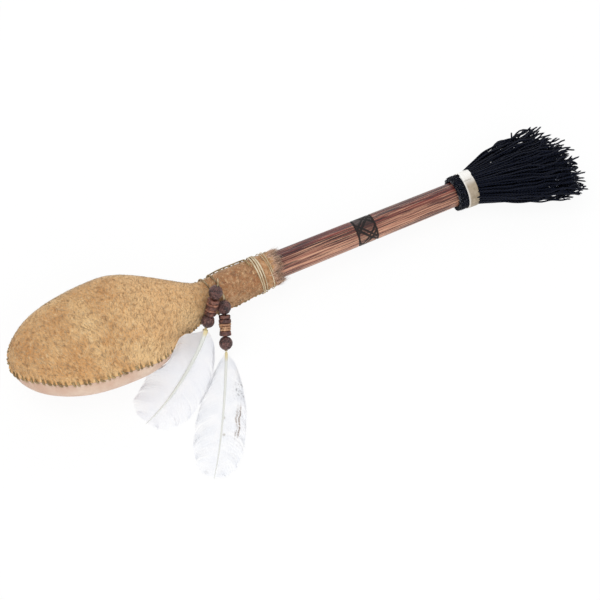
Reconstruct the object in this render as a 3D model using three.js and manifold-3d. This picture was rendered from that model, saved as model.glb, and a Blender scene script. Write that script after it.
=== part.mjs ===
// A rattle with a sewn hide head on a palm-wood stick, two bead and feather pendants tied to its neck, and a
// corded tassel. It lies on its belly: X runs from the head to the tassel, Z is up, the pendants are on -Y,
// and the origin is on the belly's flat, under the widest part of the head. All sizes are in millimetres.
import * as THREE from 'three';
import { mergeVertices } from 'three/addons/utils/BufferGeometryUtils.js';
import Module from 'manifold-3d';

const wasm = await Module();
wasm.setup();

const CLEARANCE = 0.3;

// The stick's axis, high at the head, comes down to the tassel band, which lies on the floor.
const HANDLE_HEIGHT = 19.8;
const FLOOR_GAP = 0.1;

// Stick, cut thinner where the neck sleeves it, with two burnt ring lines
const STICK_START = 91;
const STICK_SEAT_RADIUS = 10.2;
const STICK_SEAT_END = 128.5;
const STICK_HEAD_RADIUS = 10.3;
const STICK_TAIL_RADIUS = 9;
const STICK_EDGE = 1.2;
const STICK_SIDES = 28;
const RING_LINE_XS = [189.8, 204.4];
const RING_LINE_WIDTH = 1.4;
const RING_LINE_DEPTH = 0.35;

// Hide head, waist and neck. The sleeve is loose round the stick and sags to the near side.
const HIDE_WALL = 0.9;
const HEAD_FRONT = 77.2;
const HEAD_HALF_WIDTH = 42;
const HEAD_HALF_HEIGHT = 26;
const TIP_BLUNTNESS = 2.4;
const TIP_SIDE = -1.5;
const HEAD_SIDE = -3;
const HEAD_SIDE_X = -20;
const BELLY_FLAT_DEPTH = 1;
const WAIST_X = 69.5;
const WAIST_HALF_WIDTH = 12.7;
const WAIST_HALF_HEIGHT = 13.2;
const WAIST_SIDE = -3.7;
const WIDTH_FULLNESS = 1.13;
const HEIGHT_FULLNESS = 3.1;
const SLEEVE_SEAT_RADIUS = 13.8;
const SLEEVE_END_RADIUS = 11.9;
const SLEEVE_SEAT_SAG = 2.4;
const SLEEVE_END_SAG = 0.5;
const SAG_ANGLE = 210;
const SEAT_X = 89;
const NECK_END = 127;
const FRONT_STATIONS = 9;
const SHOULDER_STATIONS = 14;
const SLEEVE_STATIONS = 3;
const UPPER_FACETS = 12;
const LOWER_FACETS = 16;

// The seam's height over the head's middle on both sides, and its angles at the tip and on the neck
const NEAR_SEAM_RISE = 7.9;
const FAR_SEAM_RISE = 0.5;
const TIP_SEAM_ANGLE = 30;
const NEAR_NECK_SEAM = -22;
const FAR_NECK_SEAM = 26;
const SEAM_TURN_START = -10;
const SEAM_TURN_END = 75;

// Lacing along the seam, sinew binding and pendant cord round the neck
const LACE_RADIUS = 0.5;
const LACE_LIFT = 0.35;
const LACE_PITCH = 4.6;
const LACE_REACH = 1.7;
const LACE_SIDES = 4;
const LACE_SAMPLES = 600;
const STEP_OVER_FULL = 16;
const STEP_OVER_END = 37;
const BINDING_RADIUS = 0.6;
const BINDING_START = 109;
const BINDING_PITCH = 1.6;
const BINDING_LEAP = 4;
const BINDING_TURNS = 4.5;
const BINDING_LEAP_TURN = 2.5;
const NECK_CORD_RADIUS = 0.6;
const NECK_CORD_START = 69.5;
const NECK_CORD_PITCH = 6.8;
const NECK_CORD_TURNS = 2;
const LOOP_STEPS = 24;
const LOOP_SIDES = 6;

// Pendants
const STRING_RADIUS = 0.5;
const STRING_SIDES = 8;
const STRING_STEPS = 18;
const BEAD_BORE = 0.95;
const BEAD_SIDES = 12;
const BEAD_STEPS = 6;
const UPPER_BEAD_RADIUS = 5.2;
const LOWER_BEAD_RADIUS = 5;
const DISC_RADIUS = 4.3;
const DISC_EDGE = 0.5;
const DARK_DISC = 2.6;
const PALE_DISC = 1.5;
const LONG_DISC = 3.4;
const TIE_X = 79.2;
const LEFT_TIE_ANGLE = 100;
const LEFT_ARCH_X = 77.5;
const LEFT_ARCH_ANGLE = 102;
const LEFT_ARCH_RISE = 11.5;
const LEFT_TOUCH_X = 65.4;
const LEFT_TOUCH_ANGLE = 157.4;
const LEFT_SLANT = 0.51;
const LEFT_BEAD_RISE = 16.3;
const LEFT_STRING_LEAD = 1.4;
const RIGHT_TIE_ANGLE = 122;
const RIGHT_BEAD_X = 76.2;
const RIGHT_BEAD_ANGLE = 156;
const RIGHT_LINE = new THREE.Vector3(-0.3, -0.69, -0.66);
const RIGHT_STRING_LEAD = 1.2;

// Feathers
const QUILL_RADIUS = 1.1;
const QUILL_POINT = 0.6;
const QUILL_KNOT = 0.6;
const QUILL_PLAY = 0.45;
const RACHIS_TIP_RADIUS = 0.35;
const VANE_THICKNESS = 0.6;
const FEATHER_STATIONS = 18;
const VANE_FULL = 0.6;
const VANE_CLOSING = 0.72;
const VANE_SETTLED = 0.55;
const FEATHER_LIFT = 1.5;
const VANE_ROOT = 0.9;
const VANE_LEAST = 1.15;
const LEFT_FEATHER = {
  reach: new THREE.Vector2(-67, -43.6),
  lead: new THREE.Vector2(-30, -11),
  straight: 16,
  bareQuill: 0.05,
  vanes: [{ width: 21, opening: 0.8, lean: 0 }, { width: 16.5, opening: 0.55, lean: 60 }],
};
const RIGHT_FEATHER = {
  reach: new THREE.Vector2(-51, -86.5),
  lead: new THREE.Vector2(-20, -26),
  straight: 9,
  bareQuill: 0.06,
  vanes: [{ width: 17, opening: 0.9, lean: 0 }, { width: 18.5, opening: 1.3, lean: 0 }],
};

// Tassel
const BAND_X = 277.7;
const BAND_WIDTH = 8.7;
const BAND_INNER_RADIUS = 12.5;
const BAND_WALL = 1.1;
const BAND_LAP = 26;
const BAND_LAP_ANGLE = 70;
const SHOULDER_LENGTH = 7.5;
const SHOULDER_RADIUS = 13;
const FOLD_COUNT = 32;
const FOLD_DEPTH = 0.7;
const FOLD_STEPS = 4;
const BAND_STEPS = 36;
const ROOT_SLICE = 2.4;
const ROOT_STEPS = 6;
const STRAND_LENGTH = 80;
const FAR_TRIM = 0.16;
const LENGTH_SPREAD = 0.05;
const STRAND_RADIUS = 0.75;
const STRAND_STEPS = 4;
const STRAND_SIDES = 4;
const STRAND_RINGS = [[1.6, 1], [3.4, 2], [5.2, 4], [7, 5], [8.85, 7], [10.7, 8]];
const FAN_OPENING = 1.2;
const FAN_HALF_WIDTH = 42;
const FAN_HALF_HEIGHT = 15;
const FAN_SIDE = -12;
const FAN_LIFT = 4;

// Pebbles in the head
const PEBBLE_COUNT = 12;
const PEBBLE_RADIUS = 4;
const PEBBLE_SPREAD = 0.12;
const PEBBLE_FIELD = new THREE.Vector2(44, 25);
const PEBBLE_FIELD_X = -12;
const PEBBLE_CLEARANCE = 0.8;

const { clamp, smoothstep, degToRad } = THREE.MathUtils;
const blend = (from, to, t) => from + (to - from) * t;
const ease = (t) => 0.5 - 0.5 * Math.cos(Math.PI * clamp(t, 0, 1));

const bandRadius = BAND_INNER_RADIUS + BAND_WALL;
const bandEnd = BAND_X + BAND_WIDTH;
const stickEnd = bandEnd - ROOT_SLICE - 2 * CLEARANCE;
const handleSlope = (HANDLE_HEIGHT - bandRadius - FLOOR_GAP) / (BAND_X + BAND_WIDTH / 2);
const axisHeight = (x) => HANDLE_HEIGHT - x * handleSlope;

const colours = {
  wood: new THREE.MeshStandardMaterial({ color: 0x6e3c32, roughness: 0.35, metalness: 0 }),
  hair: new THREE.MeshStandardMaterial({ color: 0xc8a069, roughness: 0.85, metalness: 0 }),
  rawhide: new THREE.MeshStandardMaterial({ color: 0xebd2be, roughness: 0.6, metalness: 0 }),
  thread: new THREE.MeshStandardMaterial({ color: 0x4a3b26, roughness: 0.8, metalness: 0 }),
  sinew: new THREE.MeshStandardMaterial({ color: 0xe1d2b9, roughness: 0.6, metalness: 0 }),
  string: new THREE.MeshStandardMaterial({ color: 0xa08a6a, roughness: 0.8, metalness: 0 }),
  darkBead: new THREE.MeshStandardMaterial({ color: 0x4b3232, roughness: 0.7, metalness: 0 }),
  paleBead: new THREE.MeshStandardMaterial({ color: 0xbe966e, roughness: 0.7, metalness: 0 }),
  feather: new THREE.MeshStandardMaterial({ color: 0xf4f4f2, roughness: 0.8, metalness: 0 }),
  tasselCord: new THREE.MeshStandardMaterial({ color: 0x14141c, roughness: 0.8, metalness: 0 }),
  stone: new THREE.MeshStandardMaterial({ color: 0x8c867c, roughness: 0.7, metalness: 0 }),
};

const rattle = new THREE.Group();
const handle = new THREE.Group();
handle.position.z = HANDLE_HEIGHT;
handle.rotation.y = Math.atan(handleSlope);
rattle.add(handle);

function addPiece(group, name, geometry, material) {
  const mesh = new THREE.Mesh(geometry, material.clone());
  mesh.name = name;
  group.add(mesh);
  return mesh;
}

// A closed skin is collected vertex by vertex, and turned outwards when it is done.
class Skin {
  points = [];
  faces = [];

  add(point) {
    return this.points.push(point) - 1;
  }

  quad(a, b, c, d) {
    if (a !== b && b !== c && a !== c) this.faces.push([a, b, c]);
    if (a !== c && c !== d && a !== d) this.faces.push([a, c, d]);
  }

  // Wall between rings of vertex numbers, closed round each ring
  sleeve(rings) {
    const count = rings[0].length;
    for (let i = 0; i + 1 < rings.length; i += 1) {
      for (let j = 0; j < count; j += 1) {
        const k = (j + 1) % count;
        this.quad(rings[i][j], rings[i + 1][j], rings[i + 1][k], rings[i][k]);
      }
    }
  }

  fan(ring, reversed) {
    const middle = new THREE.Vector3();
    ring.forEach((index) => middle.add(this.points[index]));
    const hub = this.add(middle.divideScalar(ring.length));
    ring.forEach((index, j) => {
      const next = ring[(j + 1) % ring.length];
      this.faces.push(reversed ? [hub, next, index] : [hub, index, next]);
    });
  }

  geometry() {
    const volume = this.faces.reduce((sum, [a, b, c]) => {
      const [p, q, r] = [this.points[a], this.points[b], this.points[c]];
      return sum + p.dot(q.clone().cross(r));
    }, 0);
    const turned = volume < 0 ? this.faces.map(([a, b, c]) => [a, c, b]) : this.faces;
    const geometry = new THREE.BufferGeometry().setFromPoints(this.points);
    geometry.setIndex(turned.flat());
    geometry.computeVertexNormals();
    return geometry;
  }
}

function loft(rings) {
  const skin = new Skin();
  const indexRings = rings.map((ring) => ring.map((point) => skin.add(point)));
  skin.sleeve(indexRings);
  skin.fan(indexRings[0], false);
  skin.fan(indexRings[indexRings.length - 1], true);
  return skin.geometry();
}

// A tube with closed ends through points, its section carried along without twisting
function tube(points, radius, sides) {
  let normal = new THREE.Vector3(0.31, 0.52, 0.79);
  const rings = points.map((point, i) => {
    const before = points[Math.max(i - 1, 0)];
    const after = points[Math.min(i + 1, points.length - 1)];
    const along = after.clone().sub(before).normalize();
    normal = normal.clone().addScaledVector(along, -normal.dot(along)).normalize();
    const across = along.clone().cross(normal);
    return Array.from({ length: sides }, (_, j) => {
      const angle = (2 * Math.PI * j) / sides;
      return point.clone()
        .addScaledVector(normal, radius * Math.cos(angle))
        .addScaledVector(across, radius * Math.sin(angle));
    });
  });
  return loft(rings);
}

// Least gap between turns of a winding, measured on its points, a half turn or more apart
function leastSelfGap(points, radius) {
  let least = Infinity;
  for (let i = 0; i < points.length; i += 1) {
    for (let j = i + LOOP_STEPS / 2; j < points.length; j += 1) {
      least = Math.min(least, points[i].distanceTo(points[j]));
    }
  }
  return least - 2 * radius;
}

function solidOf(geometry) {
  const bare = geometry.clone();
  bare.deleteAttribute('normal');
  bare.deleteAttribute('uv');
  const merged = mergeVertices(bare, 1e-4);
  const vertProperties = Float32Array.from(merged.attributes.position.array);
  const triVerts = Uint32Array.from(merged.index.array);
  return new wasm.Manifold(new wasm.Mesh({ numProp: 3, vertProperties, triVerts }));
}

function geometryOf(solid) {
  const mesh = solid.getMesh();
  const geometry = new THREE.BufferGeometry();
  geometry.setAttribute('position', new THREE.BufferAttribute(Float32Array.from(mesh.vertProperties), 3));
  geometry.setIndex(Array.from(mesh.triVerts));
  geometry.computeVertexNormals();
  return geometry;
}

// Turns a shape around X, its profile given as [place along X, radius]
function turned(profile, sides) {
  const points = profile.map(([x, radius]) => new THREE.Vector2(radius, x));
  return new THREE.LatheGeometry(points, sides).rotateZ(-Math.PI / 2);
}

function stickRadius(x) {
  const t = clamp((x - STICK_START) / (stickEnd - STICK_START), 0, 1);
  return blend(STICK_HEAD_RADIUS, STICK_TAIL_RADIUS, t);
}

function stickGeometry() {
  const profile = [
    [STICK_START, 0],
    [STICK_START, STICK_SEAT_RADIUS - STICK_EDGE],
    [STICK_START + STICK_EDGE, STICK_SEAT_RADIUS],
    [STICK_SEAT_END, STICK_SEAT_RADIUS],
    [STICK_SEAT_END + STICK_EDGE, stickRadius(STICK_SEAT_END + STICK_EDGE)],
  ];
  RING_LINE_XS.forEach((x) => {
    const radius = stickRadius(x);
    const half = RING_LINE_WIDTH / 2;
    profile.push([x - half, radius], [x, radius - RING_LINE_DEPTH], [x + half, radius]);
  });
  profile.push([stickEnd - STICK_EDGE, stickRadius(stickEnd)]);
  profile.push([stickEnd, stickRadius(stickEnd) - STICK_EDGE], [stickEnd, 0]);
  return turned(profile, STICK_SIDES);
}

// The sleeve's radius and its sag from the stick's line, which both lessen along the neck
const alongNeck = (x) => clamp((x - SEAT_X) / (NECK_END - SEAT_X), 0, 1);
const sleeveRadius = (x) => blend(SLEEVE_SEAT_RADIUS, SLEEVE_END_RADIUS, alongNeck(x));
const sleeveSag = (x) => blend(SLEEVE_SEAT_SAG, SLEEVE_END_SAG, alongNeck(x));

// The hides' outer half-size at x: a blunt round to the tip, then eased to the waist and to the sleeve
function hideHalfSize(x, widest, waist, fullness, inset) {
  if (x < 0) {
    const toTip = Math.abs(x / (HEAD_FRONT - inset)) ** TIP_BLUNTNESS;
    return (widest - inset) * Math.sqrt(Math.max(0, 1 - toTip));
  }
  if (x < WAIST_X) return blend(widest, waist, ease((x / WAIST_X) ** fullness)) - inset;
  return blend(waist, sleeveRadius(x), ease((x - WAIST_X) / (SEAT_X - WAIST_X))) - inset;
}

const hideHalfWidth = (x, inset) => (
  hideHalfSize(x, HEAD_HALF_WIDTH, WAIST_HALF_WIDTH, WIDTH_FULLNESS, inset)
);
const hideHalfHeight = (x, inset) => (
  hideHalfSize(x, HEAD_HALF_HEIGHT, WAIST_HALF_HEIGHT, HEIGHT_FULLNESS, inset)
);

const headMiddle = HEAD_HALF_HEIGHT - BELLY_FLAT_DEPTH + CLEARANCE / 2;

function hideCentre(x) {
  const toWaist = smoothstep(x, 0, WAIST_X);
  const toSleeve = smoothstep(x, WAIST_X, SEAT_X);
  const sag = sleeveSag(x) * toSleeve;
  const headSide = blend(TIP_SIDE, HEAD_SIDE, smoothstep(x, -HEAD_FRONT, HEAD_SIDE_X));
  const side = blend(headSide, WAIST_SIDE, toWaist) * (1 - toSleeve);
  const height = blend(headMiddle, axisHeight(x), toWaist);
  const down = degToRad(SAG_ANGLE);
  return new THREE.Vector2(side + sag * Math.cos(down), height + sag * Math.sin(down));
}

// The seam's angle over the level on one side: a set rise on the head, then turned to its place on the neck
function seamAngle(x, rise, neckSeam) {
  const steepest = Math.sin(degToRad(TIP_SEAM_ANGLE));
  const height = hideHalfHeight(Math.min(x, 0), 0);
  const onHead = Math.asin(Math.min(rise / Math.max(height, rise), steepest));
  return blend(onHead, degToRad(neckSeam), smoothstep(x, SEAM_TURN_START, SEAM_TURN_END));
}

const farSeam = (x) => seamAngle(x, FAR_SEAM_RISE, FAR_NECK_SEAM);
const nearSeam = (x) => Math.PI - seamAngle(x, NEAR_SEAM_RISE, NEAR_NECK_SEAM);

// A point on the hide's section at x, its angle from +Y towards +Z
function hidePoint(x, angle, inset) {
  const centre = hideCentre(x);
  const y = centre.x + hideHalfWidth(x, inset) * Math.cos(angle);
  const z = centre.y + hideHalfHeight(x, inset) * Math.sin(angle);
  return new THREE.Vector3(x, y, z);
}

function hideStations(inset) {
  const xs = [];
  for (let k = 0; k <= FRONT_STATIONS; k += 1) {
    xs.push(-(HEAD_FRONT - inset) * Math.cos((Math.PI / 2) * (k / FRONT_STATIONS)));
  }
  for (let k = 1; k <= SHOULDER_STATIONS; k += 1) xs.push((SEAT_X * k) / SHOULDER_STATIONS);
  for (let k = 1; k <= SLEEVE_STATIONS; k += 1) {
    xs.push(blend(SEAT_X, NECK_END, k / SLEEVE_STATIONS));
  }
  return xs;
}

// One hide: its outer and inner faces, the two sewn rims and the rim at the end of the neck.
// The upper hide spans the seam over the top, the lower one under the belly, which has a flat to rest on.
function hideGeometry(upper) {
  const skin = new Skin();
  const facets = upper ? UPPER_FACETS : LOWER_FACETS;
  const lift = upper ? CLEARANCE / 2 : -CLEARANCE / 2;
  const face = (inset) => hideStations(inset).map((x, i) => {
    const from = upper ? farSeam(x) : nearSeam(x);
    const to = upper ? nearSeam(x) : 2 * Math.PI + farSeam(x);
    const pointAt = (j) => {
      const point = hidePoint(x, blend(from, to, j / facets), inset);
      point.z = Math.max(point.z + lift, inset);
      return point;
    };
    if (i === 0) return Array(facets + 1).fill(skin.add(pointAt(0)));
    return Array.from({ length: facets + 1 }, (_, j) => skin.add(pointAt(j)));
  });
  const outer = face(0);
  const inner = face(HIDE_WALL);
  const last = outer.length - 1;
  for (let i = 0; i < last; i += 1) {
    for (let j = 0; j < facets; j += 1) {
      skin.quad(outer[i][j], outer[i + 1][j], outer[i + 1][j + 1], outer[i][j + 1]);
      skin.quad(inner[i][j], inner[i][j + 1], inner[i + 1][j + 1], inner[i + 1][j]);
    }
    skin.quad(outer[i + 1][0], outer[i][0], inner[i][0], inner[i + 1][0]);
    skin.quad(outer[i][facets], outer[i + 1][facets], inner[i + 1][facets], inner[i][facets]);
  }
  for (let j = 0; j < facets; j += 1) {
    skin.quad(outer[last][j + 1], outer[last][j], inner[last][j], inner[last][j + 1]);
  }
  return skin.geometry();
}

// The lacing's base line runs up the near seam from the neck, round the tip and back along the far seam.
// place goes from -1 at the near end, through 0 at the tip, to 1 at the far end.
const laceInset = -(LACE_RADIUS + CLEARANCE + LACE_LIFT);
const laceHeight = 2 * LACE_RADIUS + CLEARANCE + LACE_LIFT;
const laceEnd = NECK_END - LACE_PITCH / 2;

function laceStation(place) {
  const t = Math.abs(place) * 2;
  if (t < 1) return -(HEAD_FRONT - laceInset) * Math.cos((Math.PI / 2) * t);
  return laceEnd * (t - 1);
}

function lacePoint(place, side) {
  const x = laceStation(place);
  const [width, height] = [hideHalfWidth(x, laceInset), hideHalfHeight(x, laceInset)];
  const seam = place < 0 ? nearSeam(x) : farSeam(x);
  const run = Math.hypot(width * Math.sin(seam), height * Math.cos(seam));
  const swing = clamp((side * LACE_REACH) / Math.max(run, LACE_REACH), -1, 1);
  return hidePoint(x, place < 0 ? seam - swing : seam + swing, laceInset);
}

function lacePath() {
  const places = Array.from({ length: LACE_SAMPLES + 1 }, (_, k) => -1 + (2 * k) / LACE_SAMPLES);
  const lengths = [0];
  for (let k = 1; k <= LACE_SAMPLES; k += 1) {
    const step = lacePoint(places[k], 0).distanceTo(lacePoint(places[k - 1], 0));
    lengths.push(lengths[k - 1] + step);
  }
  const total = lengths[LACE_SAMPLES];
  const count = 2 * Math.round(total / LACE_PITCH);
  const path = [];
  for (let n = 0, k = 0; n <= count; n += 1) {
    const wanted = (total * n) / count;
    while (k < LACE_SAMPLES - 1 && lengths[k + 1] < wanted) k += 1;
    const t = (wanted - lengths[k]) / (lengths[k + 1] - lengths[k]);
    path.push(lacePoint(blend(places[k], places[k + 1], t), n % 2 ? 1 : -1));
  }
  return path;
}

// A winding round the neck lies on the hide, and steps over the lacing on both sides.
function neckPoint(x, angle, radius) {
  const away = [nearSeam(x), farSeam(x)].map((seam) => Math.acos(Math.cos(angle - seam)));
  const overLace = 1 - smoothstep(Math.min(...away), degToRad(STEP_OVER_FULL), degToRad(STEP_OVER_END));
  const lie = CLEARANCE + radius + overLace * laceHeight;
  return hidePoint(x, angle, -lie);
}

function neckWinding(turns, radius, placeAt) {
  const steps = Math.round(turns * LOOP_STEPS);
  return Array.from({ length: steps + 1 }, (_, k) => {
    const turn = k / LOOP_STEPS;
    return neckPoint(placeAt(turn), 2 * Math.PI * turn - Math.PI / 4, radius);
  });
}

const bindingPath = neckWinding(BINDING_TURNS, BINDING_RADIUS, (turn) => {
  const leap = smoothstep(turn, BINDING_LEAP_TURN, BINDING_LEAP_TURN + 1);
  return BINDING_START + BINDING_PITCH * turn + BINDING_LEAP * leap;
});
const neckCordPath = neckWinding(NECK_CORD_TURNS, NECK_CORD_RADIUS, (turn) => (
  NECK_CORD_START + NECK_CORD_PITCH * turn
));

addPiece(handle, 'handle_stick', stickGeometry(), colours.wood);
addPiece(rattle, 'upper_hide', hideGeometry(true), colours.hair);
addPiece(rattle, 'lower_hide', hideGeometry(false), colours.rawhide);
addPiece(rattle, 'seam_lacing', tube(lacePath(), LACE_RADIUS, LACE_SIDES), colours.thread);
addPiece(rattle, 'neck_binding', tube(bindingPath, BINDING_RADIUS, LOOP_SIDES), colours.sinew);
addPiece(rattle, 'neck_cord', tube(neckCordPath, NECK_CORD_RADIUS, LOOP_SIDES), colours.string);
console.log('neck_binding least self-gap', leastSelfGap(bindingPath, BINDING_RADIUS).toFixed(2));
console.log('neck_cord least self-gap', leastSelfGap(neckCordPath, NECK_CORD_RADIUS).toFixed(2));

// Beads are turned around the string's line, local Z, with a bore through them.
function roundBead(radius) {
  const end = Math.sqrt(radius ** 2 - BEAD_BORE ** 2);
  const first = Math.asin(BEAD_BORE / radius);
  const profile = Array.from({ length: BEAD_STEPS + 1 }, (_, k) => {
    const angle = blend(first, Math.PI - first, k / BEAD_STEPS);
    return new THREE.Vector2(radius * Math.sin(angle), -radius * Math.cos(angle));
  });
  profile.push(new THREE.Vector2(BEAD_BORE, -end));
  return new THREE.LatheGeometry(profile, BEAD_SIDES).rotateX(Math.PI / 2);
}

function disc(thickness) {
  const half = thickness / 2;
  const edge = Math.min(DISC_EDGE, thickness / 3);
  const profile = [
    [BEAD_BORE, -half], [DISC_RADIUS - edge, -half], [DISC_RADIUS, edge - half],
    [DISC_RADIUS, half - edge], [DISC_RADIUS - edge, half], [BEAD_BORE, half], [BEAD_BORE, -half],
  ].map(([radius, z]) => new THREE.Vector2(radius, z));
  return new THREE.LatheGeometry(profile, BEAD_SIDES).rotateX(Math.PI / 2);
}

function polygon(radius, sides) {
  const corners = Array.from({ length: sides }, (_, k) => {
    const angle = (2 * Math.PI * k) / sides;
    return new THREE.Vector2(radius * Math.cos(angle), radius * Math.sin(angle));
  });
  return new THREE.Shape(corners);
}

// A feather is one solid: a quill that tapers into the rachis, with a vane on each side of it.
// Each vane has its greatest reach, how soon it opens, and how far it leans up beside the quill.
function featherGeometry(curve, bareQuill, vanes) {
  const half = VANE_THICKNESS / 2;
  const rings = Array.from({ length: FEATHER_STATIONS + 1 }, (_, k) => {
    const s = k / FEATHER_STATIONS;
    const point = curve.getPointAt(s);
    const along = curve.getTangentAt(s);
    const level = new THREE.Vector3(0, 0, 1).cross(along).normalize();
    const stem = k === 0 ? QUILL_POINT : blend(QUILL_RADIUS, RACHIS_TIP_RADIUS, s);
    const grown = clamp((s - bareQuill) / (1 - bareQuill), 0, 1);
    const closing = Math.sqrt(1 - clamp((grown - VANE_CLOSING) / (1 - VANE_CLOSING), 0, 1) ** 2);
    const corners = vanes.map(({ width, opening, lean }, hand) => {
      const open = Math.sin((Math.PI / 2) * Math.min(1, grown / VANE_FULL)) ** opening;
      const reach = Math.max(width * open * closing, VANE_LEAST * stem);
      const sign = hand ? -1 : 1;
      const raise = degToRad(lean) * (1 - smoothstep(s, 0, VANE_SETTLED));
      const out = level.clone().multiplyScalar(sign).applyAxisAngle(along, sign * raise);
      const face = along.clone().cross(out).multiplyScalar(sign);
      return [reach, VANE_ROOT * stem].map((away) => [half, -half].map((up) => (
        point.clone().addScaledVector(out, away).addScaledVector(face, up)
      )));
    });
    const [[leftEdge, leftStem], [rightEdge, rightStem]] = corners;
    const top = along.clone().cross(level).multiplyScalar(stem);
    return [
      leftEdge[0], leftStem[0], point.clone().add(top), rightStem[0], rightEdge[0],
      rightEdge[1], rightStem[1], point.clone().sub(top), leftStem[1], leftEdge[1],
    ];
  });
  return loft(rings);
}

// A pendant's beads lie in a straight line from the upper bead, down the near side of the neck.
// cordPoints are the string's points from the neck cord to the upper bead.
function addPendant(side, upperBead, line, cordPoints, discs, feather) {
  const frame = new THREE.Quaternion().setFromUnitVectors(new THREE.Vector3(0, 0, -1), line);
  let drop = 0;
  let lastHalf = 0;
  const thread = (name, geometry, halfLength, material) => {
    drop += lastHalf ? lastHalf + CLEARANCE + halfLength : 0;
    lastHalf = halfLength;
    const bead = addPiece(rattle, name, geometry, material);
    bead.position.copy(upperBead).addScaledVector(line, drop);
    bead.quaternion.copy(frame);
  };
  thread(`${side}_upper_bead`, roundBead(UPPER_BEAD_RADIUS), UPPER_BEAD_RADIUS, colours.darkBead);
  discs.forEach(([thickness, material], k) => {
    thread(`${side}_disc_${k + 1}`, disc(thickness), thickness / 2, material);
  });
  thread(`${side}_lower_bead`, roundBead(LOWER_BEAD_RADIUS), LOWER_BEAD_RADIUS, colours.darkBead);

  const along = (distance) => upperBead.clone().addScaledVector(line, distance);
  const stringEnd = drop + LOWER_BEAD_RADIUS + QUILL_KNOT;
  const route = [...cordPoints];
  const spans = discs.length + 2;
  for (let k = 0; k <= spans; k += 1) route.push(along(blend(-UPPER_BEAD_RADIUS, stringEnd, k / spans)));
  const path = new THREE.CatmullRomCurve3(route);
  const stringShape = new THREE.ExtrudeGeometry(polygon(STRING_RADIUS, STRING_SIDES), {
    steps: STRING_STEPS, bevelEnabled: false, extrudePath: path,
  });
  addPiece(rattle, `${side}_string`, stringShape, colours.string);

  const root = along(stringEnd + QUILL_PLAY);
  const tip = new THREE.Vector3(root.x + feather.reach.x, root.y + feather.reach.y, FEATHER_LIFT);
  const bend = root.clone().addScaledVector(line, feather.straight);
  bend.z = Math.max(bend.z, FEATHER_LIFT);
  const sweep = new THREE.Vector3(tip.x - feather.lead.x, tip.y - feather.lead.y, FEATHER_LIFT);
  const curve = new THREE.CubicBezierCurve3(root, bend, sweep, tip);
  const blade = featherGeometry(curve, feather.bareQuill, feather.vanes);
  addPiece(rattle, `${side}_feather`, blade, colours.feather);
}

// A place outside the hide's section at x, at an angle from +Y towards +Z
function outsideHide(x, angle, distance) {
  return hidePoint(x, degToRad(angle), -distance);
}

const tieHeight = 2 * NECK_CORD_RADIUS + STRING_RADIUS + 2 * CLEARANCE;
const dark = (thickness) => [thickness, colours.darkBead];
const pale = (thickness) => [thickness, colours.paleBead];

// The left pendant hangs down the neck's near side, its lowest bead leaning on the shoulder.
const leftDrop = degToRad(LEFT_TOUCH_ANGLE + 90);
const leftLine = new THREE.Vector3(-LEFT_SLANT, Math.cos(leftDrop), Math.sin(leftDrop)).normalize();
const leftTouch = outsideHide(LEFT_TOUCH_X, LEFT_TOUCH_ANGLE, LOWER_BEAD_RADIUS + CLEARANCE);
const leftBead = leftTouch.addScaledVector(leftLine, -LEFT_BEAD_RISE);
addPendant('left', leftBead, leftLine, [
  outsideHide(TIE_X, LEFT_TIE_ANGLE, tieHeight),
  outsideHide(LEFT_ARCH_X, LEFT_ARCH_ANGLE, tieHeight + LEFT_ARCH_RISE),
  leftBead.clone().addScaledVector(leftLine, -UPPER_BEAD_RADIUS - LEFT_STRING_LEAD),
], [dark(DARK_DISC), pale(PALE_DISC), dark(DARK_DISC), pale(PALE_DISC), dark(DARK_DISC)], LEFT_FEATHER);

// The right pendant leaves the neck's near side and slopes out to the floor.
const rightLine = RIGHT_LINE.clone().normalize();
const rightBead = outsideHide(RIGHT_BEAD_X, RIGHT_BEAD_ANGLE, UPPER_BEAD_RADIUS + 3 * CLEARANCE);
addPendant('right', rightBead, rightLine, [
  outsideHide(TIE_X, RIGHT_TIE_ANGLE, tieHeight),
  rightBead.clone().addScaledVector(rightLine, -UPPER_BEAD_RADIUS - RIGHT_STRING_LEAD),
], [
  dark(DARK_DISC), dark(DARK_DISC), pale(PALE_DISC), pale(PALE_DISC), pale(PALE_DISC), dark(LONG_DISC),
], RIGHT_FEATHER);

// The cord heads: cords folded back round the stick make a ribbed shoulder, and run on under the band.
function cordHeadsGeometry() {
  const start = BAND_X - CLEARANCE - SHOULDER_LENGTH;
  const bore = stickRadius(start) + CLEARANCE;
  const underBand = BAND_INNER_RADIUS - CLEARANCE;
  const section = (outside) => {
    const round = (outside - bore) / 2;
    const points = Array.from({ length: FOLD_STEPS + 1 }, (_, k) => {
      const angle = (Math.PI * k) / FOLD_STEPS;
      return [start + round - round * Math.sin(angle), bore + round - round * Math.cos(angle)];
    });
    points.push([BAND_X - CLEARANCE, outside], [BAND_X - CLEARANCE, underBand]);
    points.push([stickEnd, underBand], [stickEnd, bore]);
    return points;
  };
  const ridge = section(SHOULDER_RADIUS);
  const valley = section(SHOULDER_RADIUS - FOLD_DEPTH);
  const skin = new Skin();
  const rings = Array.from({ length: 2 * FOLD_COUNT }, (_, j) => {
    const angle = (Math.PI * j) / FOLD_COUNT;
    return (j % 2 ? valley : ridge).map(([x, radius]) => (
      skin.add(new THREE.Vector3(x, radius * Math.cos(angle), radius * Math.sin(angle)))
    ));
  });
  skin.sleeve([...rings, rings[0]]);
  return skin.geometry();
}

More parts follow.
